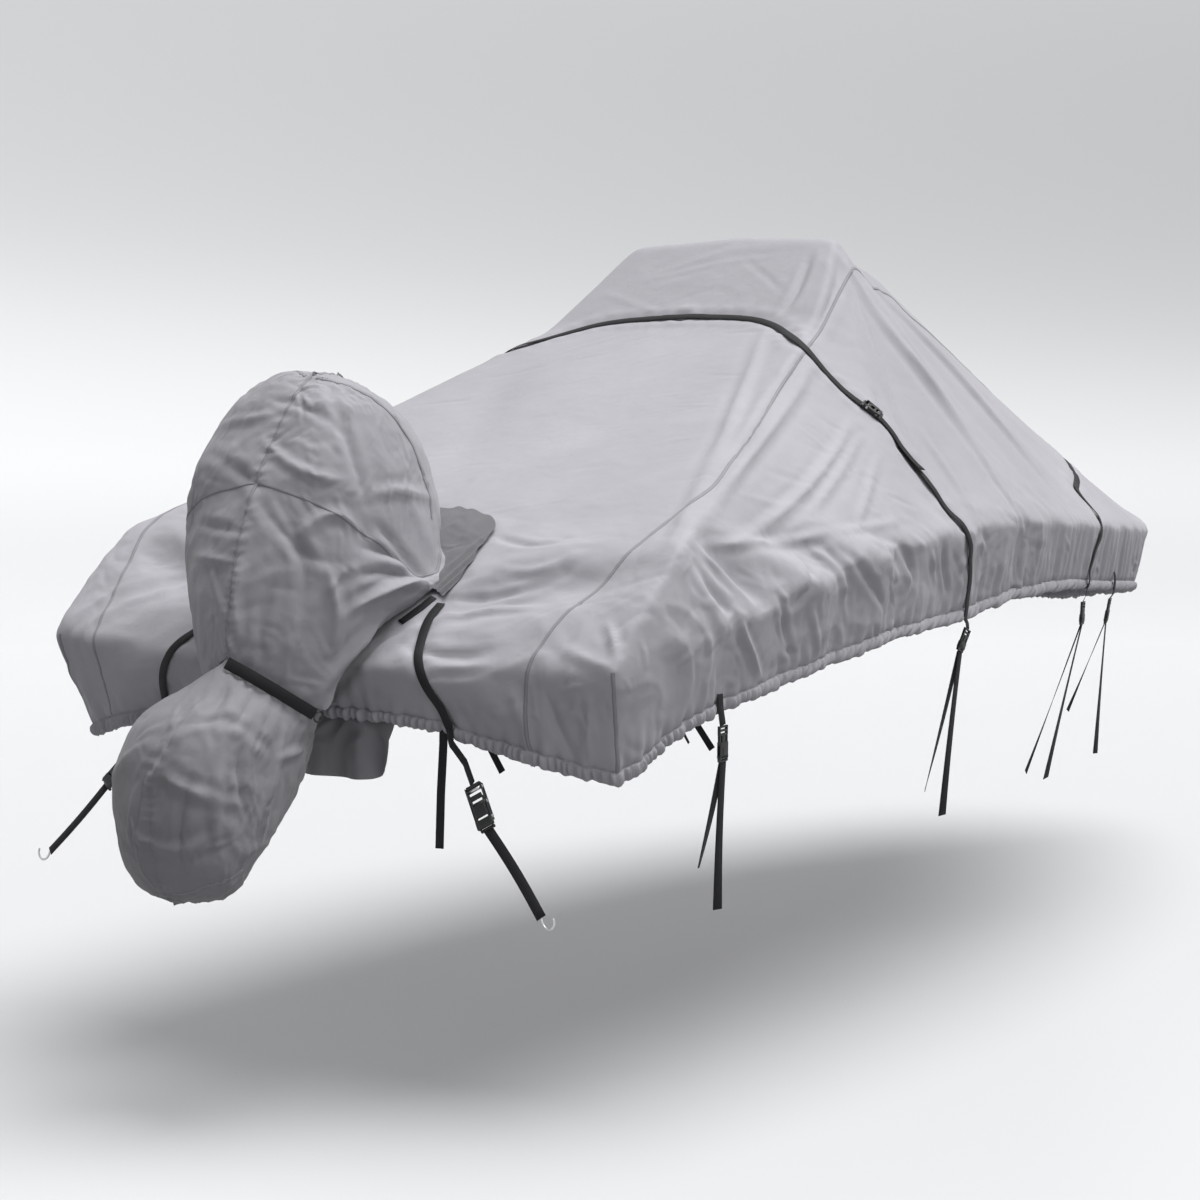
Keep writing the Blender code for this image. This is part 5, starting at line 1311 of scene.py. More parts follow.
def hem_band(side, name, seed):
    top, low = (level_line(cover, height, side) for height in (HEM_BAND, 0.0006))
    count = round(arc_lengths(top)[-1] / HEM_STEP)
    top, low = even_steps(top, count), even_steps(low, count)
    ahead = np.gradient((top + low) / 2, axis=0)
    ahead = rounded(ahead, 6)
    out = np.cross(ahead, top - low) * side
    out = rounded(out / np.linalg.norm(out, axis=1)[:, None], 4)
    out /= np.linalg.norm(out, axis=1)[:, None]
    run = arc_lengths((top + low) / 2)
    rows = []
    for j in range(HEM_ROUND + 1):
        turn = math.pi * (j / HEM_ROUND * 1.35 - 0.02)
        down = (1 - math.cos(min(turn, math.pi))) / 2
        puff = math.sin(turn) if turn < math.pi else -0.5 * (turn - math.pi)
        ruffle = sum(high * np.sin(2 * np.pi * (run + 0.010 * wander(run, 0.05, seed + k)
                                                + 0.002 * wander(run, 0.012, seed + k + 5)
                                                + 0.003 * j / HEM_ROUND) / pitch)
                     for k, (pitch, high) in enumerate(HEM_RUFFLES))
        ruffle = ruffle * (0.75 + 0.25 * wander(run, 0.09, seed + 9))
        push = HEM_PUFF * puff + ruffle * max(0.0, math.sin(min(turn, math.pi))) + 0.0012
        lift = 0.012 * max(0.0, turn / math.pi - 1)
        rows.append(top + (low - top) * down + out * push[:, None] + [0, 0, lift])
    cloth = Cloth()
    around = np.linspace(0, HEM_AROUND, HEM_ROUND + 1)
    cloth.add_grid(np.array(rows), "band", side < 0, u=run[None, :], v=around[:, None])
    cloth.finish()
    return cloth, cloth.panel("band", "cover_hem_" + name, [], CLOTH)


cover_trees = [cover.tree()]
for side, name in ((1, "starboard"), (-1, "port")):
    band_cloth, made = hem_band(side, name, 60 + side)
    cover_trees.append(band_cloth.tree())
    print(made.name, len(made.data.polygons), "faces")

# %% [markdown]
# ## Laying webbing on the cloth
#
# Webbing follows the finished cloth, creases and all. Every 12 mm the route is moved to the
# nearest place on the cloth, turned to face the same way and eased along its run. It is then
# raised until five places across its width clear the cloth. Below the hem it hangs straight.

# %% Lay webbing
LAY_STEP = 0.012                 # spacing of a band's places
LAY_REACH = 0.035                # how deep a band may start under the cloth
LAY_GAP = 0.0006                 # how far a band lies off the cloth
LAY_ROUNDS = 5                   # times that a band is tested and raised
PROBES = (-1, -0.5, 0, 0.5, 1)   # where across its width it is tested, from edge to edge
BROAD = 0.07                     # half the width of cloth that decides how a band faces
TAUT = 36                        # rounds of easing that pull a strap straight over hollows


def nearest(trees, point):
    location, normal, _, _ = min((tree.find_nearest(point) for tree in trees), key=lambda hit: hit[3])
    return location, normal


def frames_along(points, faces):
    """The directions across and up at each point of a band."""
    out = []
    for k in range(len(points)):
        ahead = (points[min(k + 1, len(points) - 1)] - points[max(k - 1, 0)]).normalized()
        across = ahead.cross(faces[k]).normalized()
        out.append((across, across.cross(ahead).normalized()))
    return out


def ease(values, rounds):
    """Average each vector with its neighbours, a number of times."""
    for _ in range(rounds):
        inner = [(a + 2 * b + c) / 4 for a, b, c in zip(values, values[1:], values[2:])]
        values = [values[0]] + inner + [values[-1]]
    return values


def broad_facing(trees, spot, way):
    """The way the cloth faces around a spot, with its small folds averaged out."""
    beside = Vector(way).cross(nearest(trees, Vector(spot))[1]).normalized()
    faces = [nearest(trees, Vector(spot) + beside * off)[1] for off in np.linspace(-BROAD, BROAD, 9)]
    return sum(faces, Vector()).normalized()


def outward(faces, points):
    """Facing directions without those found on the hidden side of a hem."""
    top = max(range(len(points)), key=lambda k: points[k].z)
    for order in (range(top + 1, len(faces)), range(top - 1, -1, -1)):
        kept = faces[top]
        for k in order:
            kept = faces[k] = faces[k] if faces[k].dot(kept) > 0.5 and faces[k].z > -0.45 else kept
    faces[0], faces[-1] = (sum(end, Vector()).normalized() for end in (faces[:9], faces[-9:]))
    return faces


def covered(trees, probe, face):
    """How far a spot has to rise to clear the cloth over it."""
    hits = [tree.ray_cast(probe + face * LAY_REACH, -face, LAY_REACH + LAY_GAP) for tree in trees]
    return max((LAY_REACH + LAY_GAP - hit[3] for hit in hits if hit[0] is not None), default=0.0)


def lay_on(route, trees, size, fall=(), lead=(), facing=None):
    """Points and facing directions of a band laid along a route, with its ends hanging."""
    path = np.array(route, float)
    marks = arc_lengths(path)
    fine = np.linspace(0, marks[-1], max(2, round(marks[-1] / LAY_STEP)) + 1)
    spots = smooth_path(marks, path, fine)
    hits = [nearest(trees, Vector(spot)) for spot in spots]
    points = ease([spot + face * (size[1] / 2 + LAY_GAP) for spot, face in hits], TAUT)
    ways = [(spots[min(k + 1, len(spots) - 1)] - spots[max(k - 1, 0)]) for k in range(len(spots))]
    faces = [broad_facing(trees[:1], *pair) for pair in zip(spots, ways)]
    faces = [facing or face.normalized() for face in ease(outward(faces, points), TAUT)]
    points, faces = hang(points, faces, fall, lead)
    for _ in range(LAY_ROUNDS):
        lifts = []
        for point, face, (across, up) in zip(points, faces, frames_along(points, faces)):
            probes = [point + across * share * size[0] / 2 - up * size[1] / 2 for share in PROBES]
            lifts.append(max(covered(trees, probe, face) for probe in probes))
        lifts = [max(lifts[max(k - 2, 0):k + 3]) for k in range(len(lifts))]
        lifts = ease(lifts, 2)
        points = [point + face * lift for point, face, lift in zip(points, faces, lifts)]
    return points, faces


def hang(points, faces, fall, lead=()):
    """Add straight runs before and after a laid band."""
    for ends, at_end in ((fall, True), (lead[::-1], False)):
        for place in ends:
            last = points[-1] if at_end else points[0]
            steps = max(1, round((Vector(place) - last).length / LAY_STEP))
            more = [last.lerp(Vector(place), (k + 1) / steps) for k in range(steps)]
            face = faces[-1] if at_end else faces[0]
            if at_end:
                points, faces = points + more, faces + [face] * steps
            else:
                points, faces = more[::-1] + points, [face] * steps + faces
    return points, faces


def band_mesh(name, points, faces, size):
    """A band with softly rounded edges, and its flat measure for the ribs."""
    wide, thick = size[0] / 2, size[1] / 2
    soft = thick * 0.7
    outline = [(-wide, -thick + soft), (-wide + soft, -thick), (wide - soft, -thick), (wide, -thick + soft),
               (wide, thick - soft), (wide - soft, thick), (soft - wide, thick), (-wide, thick - soft)]
    corners, quads, flat, run = [], [], [], 0.0
    last = None
    for k, (point, (across, up)) in enumerate(zip(points, frames_along(points, faces))):
        run += (point - last).length if last else 0.0
        last = point
        corners += [point + across * a + up * b for a, b in outline]
        flat += [(a, run) for a, b in outline]
        if k:
            high, low = 8 * k, 8 * k - 8
            quads += [(low + a, high + a, high + (a + 1) % 8, low + (a + 1) % 8) for a in range(8)]
    ends = [tuple(range(8)), tuple(8 * (len(points) - 1) + a for a in reversed(range(8)))]
    mesh = bpy.data.meshes.new(name)
    mesh.from_pydata([placed(c) for c in corners], [], quads + ends)
    layer = mesh.uv_layers.new(name="flat")
    for loop, uv in zip(mesh.loops, layer.data):
        uv.uv = flat[loop.vertex_index]
    mesh.shade_smooth()
    return mesh


def band(name, points, faces, size, nodes, finish=None):
    return add_piece(name, band_mesh(name, points, faces, size), nodes, finish or WEBBING)


print("webbing is", WEBBING_SIZE, "m in section")

# %% [markdown]
# ## Moulded buckles
#
# A buckle is many small blocks and rods in one mesh, made in its own measure with x across
# the webbing, y along it and z outward. It is then turned to lie in its strap. Carving it
# out of one block with boolean cuts would give the same look and more trouble.

# %% Buckles
class Moulding:
    """Blocks and rods in one mesh, in a measure of its own."""

    def __init__(self):
        self.mesh = bmesh.new()

    def block(self, centre, size, soft, metal=False, tilt=0.0):
        made = bmesh.ops.create_cube(self.mesh, size=1.0)["verts"]
        turn = Matrix.Rotation(tilt, 3, "X")
        for vert in made:
            vert.co = turn @ Vector(c * s for c, s in zip(vert.co, size)) + Vector(centre)
        edges = list(dict.fromkeys(edge for vert in made for edge in vert.link_edges))
        done = bmesh.ops.bevel(self.mesh, geom=edges, offset=soft, segments=3, affect="EDGES",
                               profile=0.6)
        self.paint({face for vert in done["verts"] for face in vert.link_faces}, metal)

    def rod(self, centre, radius, length, way="X", metal=False):
        turn = {"X": Matrix.Rotation(math.pi / 2, 4, "Y"), "Z": Matrix.Identity(4)}[way]
        made = bmesh.ops.create_cone(self.mesh, cap_ends=True, segments=20, radius1=radius, radius2=radius,
                                     depth=length, matrix=Matrix.Translation(centre) @ turn)["verts"]
        self.paint({face for vert in made for face in vert.link_faces}, metal)

    def paint(self, faces, metal):
        for face in faces:
            face.material_index = 1 if metal else 0
            face.smooth = len(face.verts) <= 4

    def lay(self, name, middle, along, face, nodes, slot_finish):
        """Turn the moulding into its place and make it a piece."""
        across = along.cross(face).normalized()
        up = across.cross(along).normalized()
        turn = Matrix((across, along, up)).transposed()
        bmesh.ops.transform(self.mesh, matrix=Matrix.Translation(placed(middle)) @ turn.to_4x4(),
                            verts=self.mesh.verts)
        data = bpy.data.meshes.new(name)
        self.mesh.to_mesh(data)
        self.mesh.free()
        piece = add_piece(name, data, nodes, slot_finish)
        data.materials.append(STEEL)
        return piece


def side_release(length):
    """A side release buckle: a ladder end, two prongs in a hollow body, and a slotted foot."""
    made, half = Moulding(), length / 2
    for side in (-1, 1):
        made.block((side * 0.0145, -half + 0.012, 0), (0.005, 0.024, 0.0075), 0.0012)
        made.block((side * 0.0145, half - 0.007, 0), (0.005, 0.014, 0.0075), 0.0012)
        made.block((side * 0.0138, -half + 0.036, 0), (0.0055, 0.024, 0.0075), 0.0018)
    for at, thick in ((-half + 0.0025, 0.0065), (-half + 0.0115, 0.008), (-half + 0.0215, 0.0085)):
        made.block((0, at, 0), (0.030, 0.0045, thick), 0.0014)
    made.block((0, -half + 0.033, 0), (0.013, 0.022, 0.0075), 0.0015)
    body = length - 0.048
    centre = -half + 0.040 + body / 2
    made.block((0, centre, 0.0043), (0.0315, body, 0.0026), 0.0012)
    made.block((0, centre, -0.0043), (0.0315, body, 0.0026), 0.0012)
    made.block((0, centre, 0), (0.0205, body, 0.0085), 0.0010)
    made.block((0, centre + body / 2 - 0.005, 0), (0.0335, 0.010, 0.0112), 0.0022)
    made.block((0, centre + 0.002, 0.0060), (0.012, body * 0.45, 0.0011), 0.0004)
    made.block((0, half - 0.0025, 0), (0.0335, 0.0050, 0.0080), 0.0014)
    return made


def cam_buckle(length, width, thick):
    """A cam buckle: a base, two cheeks, a lever with a slot, and two pale rivets."""
    made, half = Moulding(), length / 2
    low = -thick / 2
    made.block((0, 0, low + 0.0012), (width * 0.92, length, 0.0024), 0.0008)
    for side in (-1, 1):
        made.block((side * (width / 2 - 0.002), -0.006, 0), (0.0028, length * 0.62, thick), 0.0010)
        made.rod((side * (width / 2 - 0.0002), -0.016, 0.001), 0.0032, 0.0022, metal=True)
    made.rod((0, -0.016, 0.001), 0.0050, width - 0.006)
    lever = length * 0.60
    raised = thick * 0.34
    for side in (-1, 1):
        made.block((side * width * 0.31, 0.006, raised), (width * 0.20, lever, 0.0042), 0.0014, tilt=0.05)
    for at in (-0.42, 0.02, 0.42):
        made.block((0, 0.006 + at * lever, raised + at * 0.002), (width * 0.74, lever * 0.17, 0.0042), 0.0013)
    made.block((0, half - 0.006, low + 0.0040), (width, 0.0075, 0.0060), 0.0020)
    made.block((0, -half + 0.005, low + 0.0035), (width * 0.98, 0.0070, 0.0055), 0.0018)
    return made


def stern_buckle(length, width, thick):
    """A ratchet of cheeks and rods, with a lever that folds over it."""
    made, half = Moulding(), length / 2
    for side in (-1, 1):
        made.block((side * (width / 2 - 0.002), -length * 0.06, 0),
                   (0.0030, length * 0.80, thick * 0.72), 0.0012)
        made.block((side * (width / 2 - 0.0065), length * 0.14, thick * 0.22),
                   (0.0028, length * 0.66, thick * 0.46), 0.0010)
        for at in (-0.38, -0.05, 0.28):
            made.rod((side * (width / 2 - 0.0008), at * length, 0), 0.0042, 0.0030, metal=True)
    for at, radius, metal in ((-0.38, 0.0045, True), (-0.05, 0.0085, False), (0.28, 0.0050, False)):
        made.rod((0, at * length, 0), radius, width - 0.006, metal=metal)
    made.block((0, length * 0.36, thick * 0.24), (width, length * 0.18, 0.0085), 0.0032)
    made.block((0, length * 0.10, thick * 0.36), (width * 0.66, length * 0.26, 0.0040), 0.0014)
    made.block((0, -length * 0.20, thick * 0.30), (width * 0.70, length * 0.10, 0.0050), 0.0016)
    made.block((0, -half + 0.005, 0), (width * 0.86, 0.0090, 0.0080), 0.0026)
    made.block((0, half - 0.004, -thick * 0.10), (width * 0.86, 0.0070, 0.0070), 0.0022)
    return made


print("three kinds of buckle")

# %% [markdown]
# ## Ties, legs and hooks
#
# Each long strap ends at a buckle below the hem, and from there two legs run down to the
# trailer, which isn't part of this model. The legs' loose ends hang as cut, which is how
# the cover leaves them.

# %% Make the webbing
def mirrored(points, side):
    return [(x * side, y, z) for x, y, z in points]


def tie(points, name, side, end):
    """The buckle under a strap's end and the straight webbing below it."""
    buckle = BUCKLES[name]
    foot, face = (Vector(place) for place in mirrored((buckle.foot, buckle.face), side))
    along = (foot - points[-1]).normalized()
    face = (face - along * face.dot(along)).normalized()
    top = points[-1] + along * 0.001
    length = (foot - top).length
    if name == "stern":
        made = stern_buckle(length, buckle.width, buckle.thickness)
    else:
        made = side_release(length)
    made.lay(buckle.name + end + "_moulding", (top + foot) / 2, along, face, [buckle.name + end], PLASTIC)
    for leg in (leg for leg in LEGS if leg.tie == name):
        last = Vector(mirrored((leg.foot,), side)[0])
        start = foot + face * LAYER * leg.layer - along * 0.003
        run = (last - start).length
        steps = max(4, round(run / 0.02))
        sway = along.cross(face) * 0.004 * (1 if leg.layer > 0 else -1)
        line = [start.lerp(last, k / steps) + sway * math.sin(math.pi * k / steps) for k in range(steps + 1)]
        way = (last - start).normalized()
        twist = [Matrix.Rotation(leg.layer * 0.5 * (k / steps)**2, 3, way) @ face for k in range(steps + 1)]
        band(leg.name + end + "_webbing", line, twist, WEBBING_SIZE, [leg.name + end])
    return last, way


def wire(name, places, radius, finish, nodes, closed=False):
    """A bent wire: one curve with a round section."""
    curve = bpy.data.curves.new(name, "CURVE")
    curve.dimensions = "3D"
    curve.bevel_depth, curve.bevel_resolution, curve.resolution_u = radius, 5, 10
    curve.use_fill_caps = True
    spline = curve.splines.new("BEZIER")
    spline.bezier_points.add(len(places) - 1)
    for knot, place in zip(spline.bezier_points, places):
        knot.co = placed(place)
        knot.handle_left_type = knot.handle_right_type = "AUTO"
    spline.use_cyclic_u = closed
    return add_piece(name, curve, nodes, finish)


def loose_tail(points, faces):
    """The strap's spare end, doubled on top of it below the cam buckle."""
    place = Vector(CAM_BUCKLE)
    k = min(range(len(points)), key=lambda i: (points[i] - place).length)
    step = WEBBING_SIZE[1] + 0.0004
    count = round(CAM_TAIL_RUN / LAY_STEP)
    tail = [points[k + i] + faces[k + i] * (step + 0.009 * (i / count)**2) for i in range(1, count)]
    band("crown_strap_tail_webbing", tail, faces[k + 1:k + count], WEBBING_SIZE, ["crown_strap_tail"])
    along = (points[k + 2] - points[k - 2]).normalized()
    length, width, thick = CAM_SIZE
    middle = points[k] + faces[k] * (WEBBING_SIZE[1] / 2 + thick / 2 + 0.0006)
    cam_buckle(length, width, thick).lay("crown_strap_buckle_moulding", middle, along, faces[k],
                                         ["crown_strap_buckle"], PLASTIC)


CAM_TAIL_RUN = 0.235             # length of the strap's spare end
for name, half, fall in (("crown", CROWN_STRAP, CROWN_FALL), ("bow", BOW_STRAP, BOW_FALL)):
    whole = mirrored(half[:0:-1], -1) + list(half)
    points, faces = lay_on(whole, cover_trees, WEBBING_SIZE, fall, mirrored(fall[::-1], -1))
    band(name + "_strap_webbing", points, faces, WEBBING_SIZE, [name + "_strap"])
    tie(points, name, 1, "_starboard")
    tie(points[::-1], name, -1, "_port")
    if name == "crown":
        loose_tail(points, faces)
for side, end in ((1, "_starboard"), (-1, "_port")):
    spread, fall = (1.0, STERN_FALL) if side > 0 else (PORT_SPREAD, PORT_FALL)
    route = [(x * spread, y, z) for x, y, z in mirrored(STERN_STRAP, side)]
    points, faces = lay_on(route, cover_trees, WEBBING_SIZE, mirrored(fall, side))
    band("stern_strap" + end + "_webbing", points, faces, WEBBING_SIZE, ["stern_strap" + end])
    last, way = tie(points, "stern", side, end)
    hook = [last + way * (HOOK_WIRE * 0.4) + Vector(place) for place in mirrored(STERN_HOOK, side)]
    wire("stern_hook" + end + "_wire", hook, HOOK_WIRE, STEEL, ["stern_hook" + end])
    for name, tab, fall in (("stem", STEM_TAB, STEM_FALL), ("quarter", QUARTER_TAB, QUARTER_FALL)):
        points, faces = lay_on(mirrored(tab, side), cover_trees, WEBBING_SIZE, mirrored(fall, side))
        band(name + "_tie_tab" + end + "_webbing", points, faces, WEBBING_SIZE, [name + "_tie_tab" + end])
        tie(points, name, side, end)
    hem_tail = [Vector(place) for place in mirrored(HEM_TAIL + HEM_TAIL_FALL, side)]
    line, away = hang(hem_tail[:1], [Vector((0, 1, 0))], hem_tail[1:])
    band("stern_hem_tail" + end + "_webbing", line, away, WEBBING_SIZE, ["stern_hem_tail" + end])
print("ties made")

# %% [markdown]
# ## The hood's waist strap
#
# It squeezes the hood where the sleeve begins, and ends in a small wire ring.

# %% Waist strap
WAIST_FACING = (0.62, -0.76, 0.12)  # the way the strap's broad side faces
trees = hood_trees[:1] + [sleeve_tree]
points, faces = lay_on(WAIST_STRAP, trees, WAIST_SIZE, facing=Vector(WAIST_FACING).normalized())
band("waist_strap_webbing", points, faces, WAIST_SIZE, ["waist_strap"])
ahead = (points[-1] - points[-2]).normalized()
centre = points[-1] + ahead * (RING_WIRE + RING_REACH)
over = ahead.cross(faces[-1]).normalized()
ring = []
for k in range(RING_POINTS):
    turn = 2 * math.pi * k / RING_POINTS
    ring.append(centre + (ahead * math.cos(turn) + over * math.sin(turn)) * RING_REACH)
wire("waist_ring_wire", ring, RING_WIRE, PLASTIC, ["waist_ring"], True)
points, faces = lay_on(FRONT_STRAP, cover_trees, WEBBING_SIZE)
band("hood_front_strap_webbing", points, faces, WEBBING_SIZE, ["hood_front_strap"])
print("waist strap made")

# %% [markdown]
# ## Seams and stitches
#
# The panels are joined by felled seams: a folded strip about 11 mm wide with two rows of
# stitches. The strip follows the edge that two panels share, raised a little off the cloth.
# Each stitch is a small wedge of thread. Painted stitches would look flat from close by.

# %% Seam helpers
SEAM_WIDE, SEAM_THICK = 0.009, 0.0011
STITCH_ROWS = (-0.0040, 0.0040)  # how far the two rows of stitches lie off the seam's middle
STITCH_PITCH, STITCH_LONG, STITCH_WIDE = 0.0065, 0.0045, 0.0016


def shared_lines(cloth, one, other):
    """The edges that two panels share, chained into rows of points."""
    ends = {}
    for face, owner in zip(cloth.faces.tolist(), cloth.owners.tolist()):
        if owner in (one, other):
            for a, b in zip(face, face[1:] + face[:1]):
                ends.setdefault((min(a, b), max(a, b)), set()).add(owner)
    links = {}
    for (a, b), owners in ends.items():
        if len(owners) == 2 and a != b:
            links.setdefault(a, set()).add(b)
            links.setdefault(b, set()).add(a)
    chains = []
    while links:
        tips = [a for a, near in links.items() if len(near) == 1]
        run = [min(tips) if tips else min(links)]
        while links.get(run[-1]):
            onward = links[run[-1]].pop()
            links[onward].discard(run[-1])
            run.append(onward)
        links = {a: near for a, near in links.items() if near}
        chains.append(cloth.points[run])
    return [chain for chain in chains if len(chain) > 4]


def evenly(path, step):
    return even_steps(path, max(2, round(arc_lengths(path)[-1] / step)))


def on_cloth(trees, path, raise_by):
    """Lay a row of points on the cloth: places, directions out and directions across."""
    spots, outs = [], []
    for point in path:
        spot, face = nearest(trees, Vector(point))
        spots.append(spot)
        outs.append(face)
    outs = [out.normalized() for out in ease(outs, 2)]
    frames = frames_along(spots, outs)
    return [spot + out * raise_by for spot, out in zip(spots, outs)], outs, [across for across, _ in frames]


def felled(trees, path):
    """Corners and faces of a seam's folded strip."""
    spots, outs, ways = on_cloth(trees, evenly(path, 0.008), 0.0)
    wide, corners = SEAM_WIDE / 2, []
    for spot, out, across in zip(spots, outs, ways):
        for off, high in ((-wide - 0.001, -0.0010), (-wide, SEAM_THICK), (0.0, SEAM_THICK * 1.3),
                          (wide, SEAM_THICK), (wide + 0.001, -0.0010)):
            laid, face = nearest(trees, spot + across * off)
            corners.append(laid + face * high)
    count = len(spots)
    starts = [5 * k + j for k in range(count - 1) for j in range(4)]
    faces = [(low, low + 1, low + 6, low + 5) for low in starts]
    return corners, faces


def thread(trees, path, off, high):
    """Corners and faces of one row of stitches, beside a path by off."""
    corners, faces = [], []
    spots, outs, ways = on_cloth(trees, evenly(path, STITCH_PITCH), 0.0)
    for k in range(len(spots) - 1):
        run = spots[k + 1] - spots[k]
        if run.length < 1e-5:
            continue
        start = spots[k] + ways[k] * off
        ahead = run.normalized() * STITCH_LONG
        across = ways[k] * STITCH_WIDE / 2
        laid, face = nearest(trees, start + ahead / 2)
        base = laid - ahead / 2 + face * (high - 0.0005)
        n = len(corners)
        corners += [base - across, base + across, base + ahead + across, base + ahead - across,
                    base + ahead * 0.2 + face * 0.0011, base + ahead * 0.8 + face * 0.0011]
        faces += [(n, n + 1, n + 4), (n + 1, n + 2, n + 5, n + 4),
                  (n + 2, n + 3, n + 5), (n + 3, n, n + 4, n + 5)]
    return corners, faces


def sewn(name, lines, finish, smooth):
    """One piece from many strips or rows of stitches."""
    corners, faces = [], []
    for more, around in lines:
        faces += [tuple(k + len(corners) for k in face) for face in around]
        corners += more
    mesh = bpy.data.meshes.new(name)
    mesh.from_pydata([placed(corner) for corner in corners], [], faces)
    if smooth:
        mesh.shade_smooth()
    piece = bpy.data.objects.new(name, mesh)
    bpy.context.collection.objects.link(piece)
    mesh.materials.append(finish)
    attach(piece, "root")
    return piece


print("seams are", SEAM_WIDE, "m wide")

# %% Sew the cover
# Pixels of the camera's frame down the starboard corner's seam.
CORNER_SEAM = ((613, 672), (615, 700), (617, 730), (618, 758), (617, 785))
strips, rows = [], []
corner_seam = np.array([seen(COVER_SOLID, *pixel) for pixel in CORNER_SEAM])
for side, name in ((1, "starboard"), (-1, "port")):
    for path in shared_lines(cover, "centre", name) + [corner_seam * [side, 1, 1]]:
        strips.append(felled(cover_trees[:1], path))
        rows += [thread(cover_trees[:1], path, off, SEAM_THICK) for off in STITCH_ROWS]
    rows.append(thread(cover_trees[:1], level_line(cover, HEM_BAND + 0.004, side), 0.0, 0.0))
sewn("cover_seams", strips, SEAM_SHADED_CLOTH, True)
stitches = sewn("cover_stitches", rows, THREAD, False)
print("cover stitches:", len(stitches.data.polygons), "faces")

# %% Sew the hood
strips, rows = [], []
# Pixels of the camera's frame along the seams inside a panel.
LEG_SEAM = ((131, 816), (139, 859), (155, 886))
LEG_BAND = ((171, 892), (205, 884), (243, 871))
CREST_SEAM = ((316, 378), (337, 383), (357, 390), (377, 402), (393, 416), (409, 439), (422, 470),
              (429, 493), (432, 519))
leg_seam, leg_band = (np.array([seen(SLEEVE_SOLID, *pixel) for pixel in seam])
                      for seam in (LEG_SEAM, LEG_BAND))
crest_seam = np.array([seen(hood_trees[0], *pixel) for pixel in CREST_SEAM])
hood_lines = [leg_seam, leg_band, crest_seam, crest_seam * [-1, 1, 1]]
for cloth, one, other in ((hood, "crown_starboard", "side_starboard"), (hood, "crown_port", "side_port"),
                          (hood, "crown_starboard", "crown_port"), (hood, "side_starboard", "side_port"),
                          (sleeve, "leg_starboard", "leg_port")):
    hood_lines += shared_lines(cloth, one, other)
for path in hood_lines:
    trees = [sleeve_tree] if path[:, 2].max() < 1.08 else hood_trees[:1]
    strips.append(felled(trees, path))
    rows += [thread(trees, path, off, SEAM_THICK) for off in STITCH_ROWS]
sewn("hood_seams", strips, SEAM_SHADED_CLOTH, True)
stitches = sewn("hood_stitches", rows, THREAD, False)
print("hood stitches:", len(stitches.data.polygons), "faces")

# %% [markdown]
# ## Floor, backdrop and light
#
# The floor is a wide disc whose rim curves up all round, so that no edge shows from any
# side. A broad sun, as soft as an overcast sky, lights cloth and floor evenly from above and
# a little from the right. A weak area light adds a glow on the side that the eye sees.

# %% Floor and backdrop
GROUND = -CROWN[2]               # the ground's height in the frame
GLOW_FROM, GLOW_TO = 1.5, 6.0    # heights between which the backdrop's own glow grows
GLOW_LOW, GLOW_HIGH = 0.10, 0.42
BOWL_FLAT, BOWL_BEND, BOWL_RISE = 11.0, 6.0, 3.5  # flat radius, radius of the bend, wall above it
bowl = bmesh.new()
profile = [(reach, 0.0) for reach in np.linspace(0.4, BOWL_FLAT, 14)]
profile += [(BOWL_FLAT + BOWL_BEND * math.sin(turn), BOWL_BEND * (1 - math.cos(turn)))
            for turn in np.linspace(0, math.pi / 2, 25)[1:]]
profile += [(BOWL_FLAT + BOWL_BEND, BOWL_BEND + BOWL_RISE)]
rings = []
for reach, height in profile:
    rings.append([bowl.verts.new((reach * math.cos(turn), reach * math.sin(turn), GROUND + height))
                  for turn in np.linspace(0, 2 * math.pi, 129)[:-1]])
bowl.faces.new(rings[0])
for low, high in zip(rings, rings[1:]):
    for k in range(128):
        bowl.faces.new((low[k], high[k], high[(k + 1) % 128], low[(k + 1) % 128]))
data = bpy.data.meshes.new("studio_floor")
bowl.to_mesh(data)
bowl.free()
data.shade_smooth()
floor = bpy.data.objects.new("studio_floor", data)
bpy.context.collection.objects.link(floor)
FLOOR, floor_tree, shader = new_finish("studio_floor", "studio_floor", (0.43, 0.433, 0.44), 0.38)
cloudy = node(floor_tree, "ShaderNodeTexNoise", Scale=1.6, Detail=4.0)
tint(floor_tree, cloudy.outputs["Fac"], (0.425, 0.428, 0.435), (0.445, 0.448, 0.455),
     shader.inputs["Base Color"])
where = node(floor_tree, "ShaderNodeTexCoord")
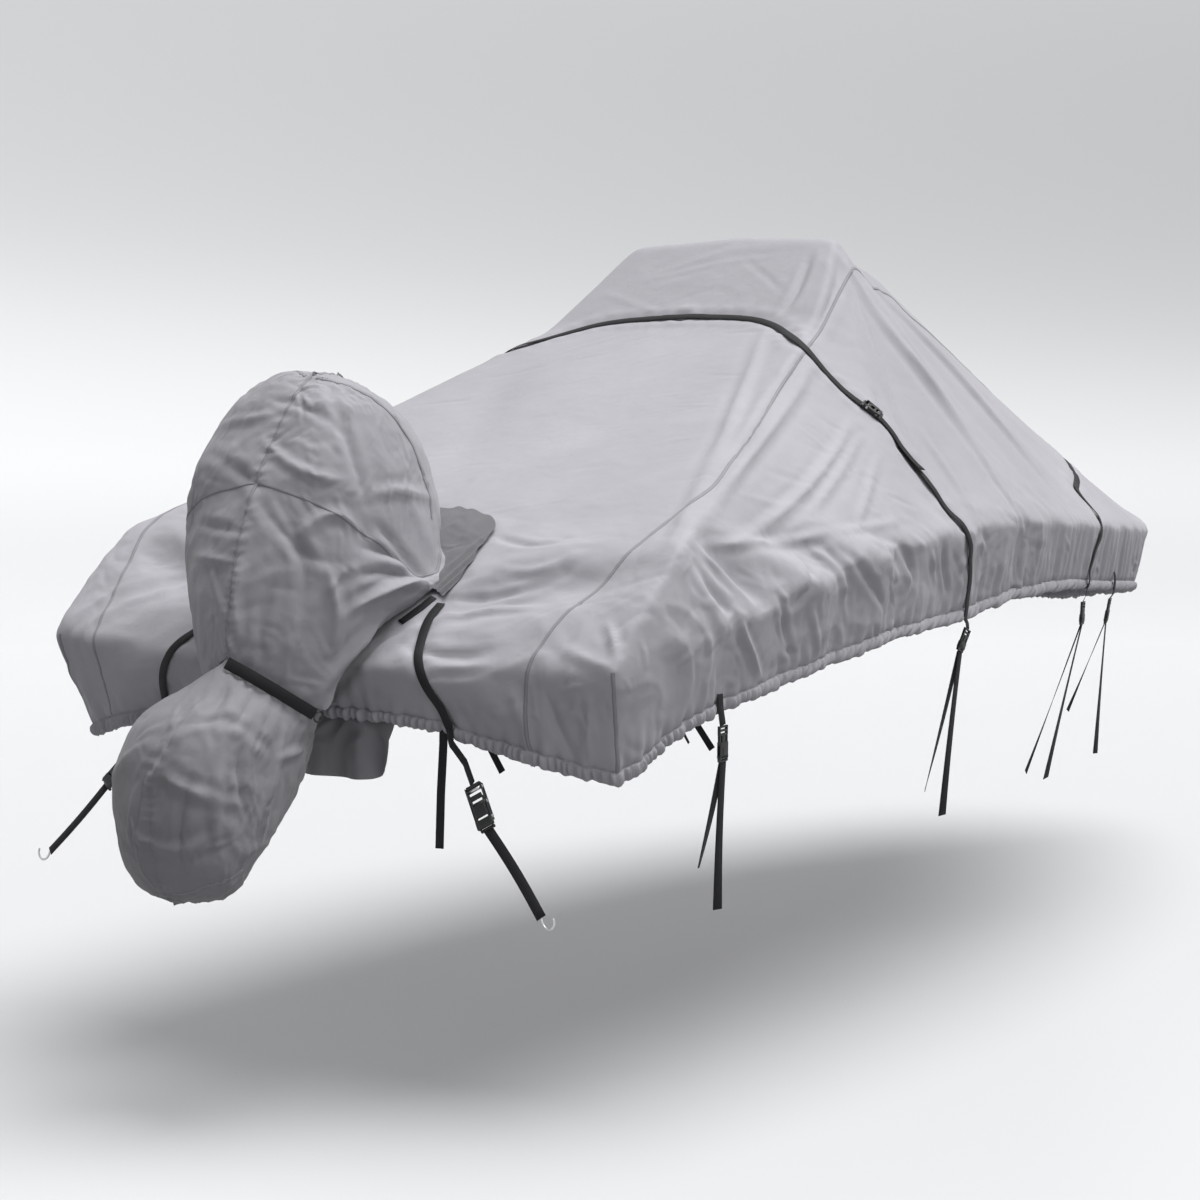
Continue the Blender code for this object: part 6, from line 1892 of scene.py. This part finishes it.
apart = node(floor_tree, "ShaderNodeSeparateXYZ")
height = node(floor_tree, "ShaderNodeMapRange", From_Min=GROUND + GLOW_FROM, From_Max=GROUND + GLOW_TO,
              To_Min=GLOW_LOW, To_Max=GLOW_HIGH)
floor_tree.links.new(where.outputs["Object"], apart.inputs["Vector"])
floor_tree.links.new(apart.outputs["Z"], height.inputs["Value"])
floor_tree.links.new(height.outputs["Result"], shader.inputs["Emission Strength"])
shader.inputs["Emission Color"].default_value = (0.97, 0.98, 1.0, 1)
shader.inputs["Specular IOR Level"].default_value = 0.3
data.materials.append(FLOOR)
floor.visible_diffuse = floor.visible_shadow = False  # the floor throws no light or shade on the cloth
print("floor at", GROUND)

# %% Lights
SUN_FROM = Vector((0.20, 0.25, 1.0))
SUN_POWER, SUN_WIDTH = 4.9, 0.9  # strength, and angle across in radians
GLOW_SIZE, GLOW_POWER = (5, 4), 110
GLOW_AT, GLOW_AIM = (7.0, -3.0, 4.0), (0.4, 1.4, 1.0)
SKY_POWER = 0.36
lamp = bpy.data.objects.new("broad_sun", bpy.data.lights.new("broad_sun", "SUN"))
lamp.data.energy, lamp.data.angle = SUN_POWER, SUN_WIDTH
lamp.rotation_euler = SUN_FROM.to_track_quat("Z", "Y").to_euler()
bpy.context.collection.objects.link(lamp)
glow = bpy.data.lights.new("side_glow", "AREA")
glow.shape, glow.size, glow.size_y, glow.energy = "RECTANGLE", *GLOW_SIZE, GLOW_POWER
side_lamp = bpy.data.objects.new("side_glow", glow)
side_lamp.location = placed(GLOW_AT)
side_lamp.rotation_euler = (placed(GLOW_AIM) - side_lamp.location).to_track_quat("-Z", "Y").to_euler()
bpy.context.collection.objects.link(side_lamp)
world = bpy.data.worlds.new("studio")
world.use_nodes = True
world.node_tree.nodes["Background"].inputs["Color"].default_value = (0.95, 0.96, 0.98, 1)
world.node_tree.nodes["Background"].inputs["Strength"].default_value = SKY_POWER
bpy.context.scene.world = world
bpy.context.scene.view_settings.view_transform = "Standard"
print("a broad sun and a side glow")
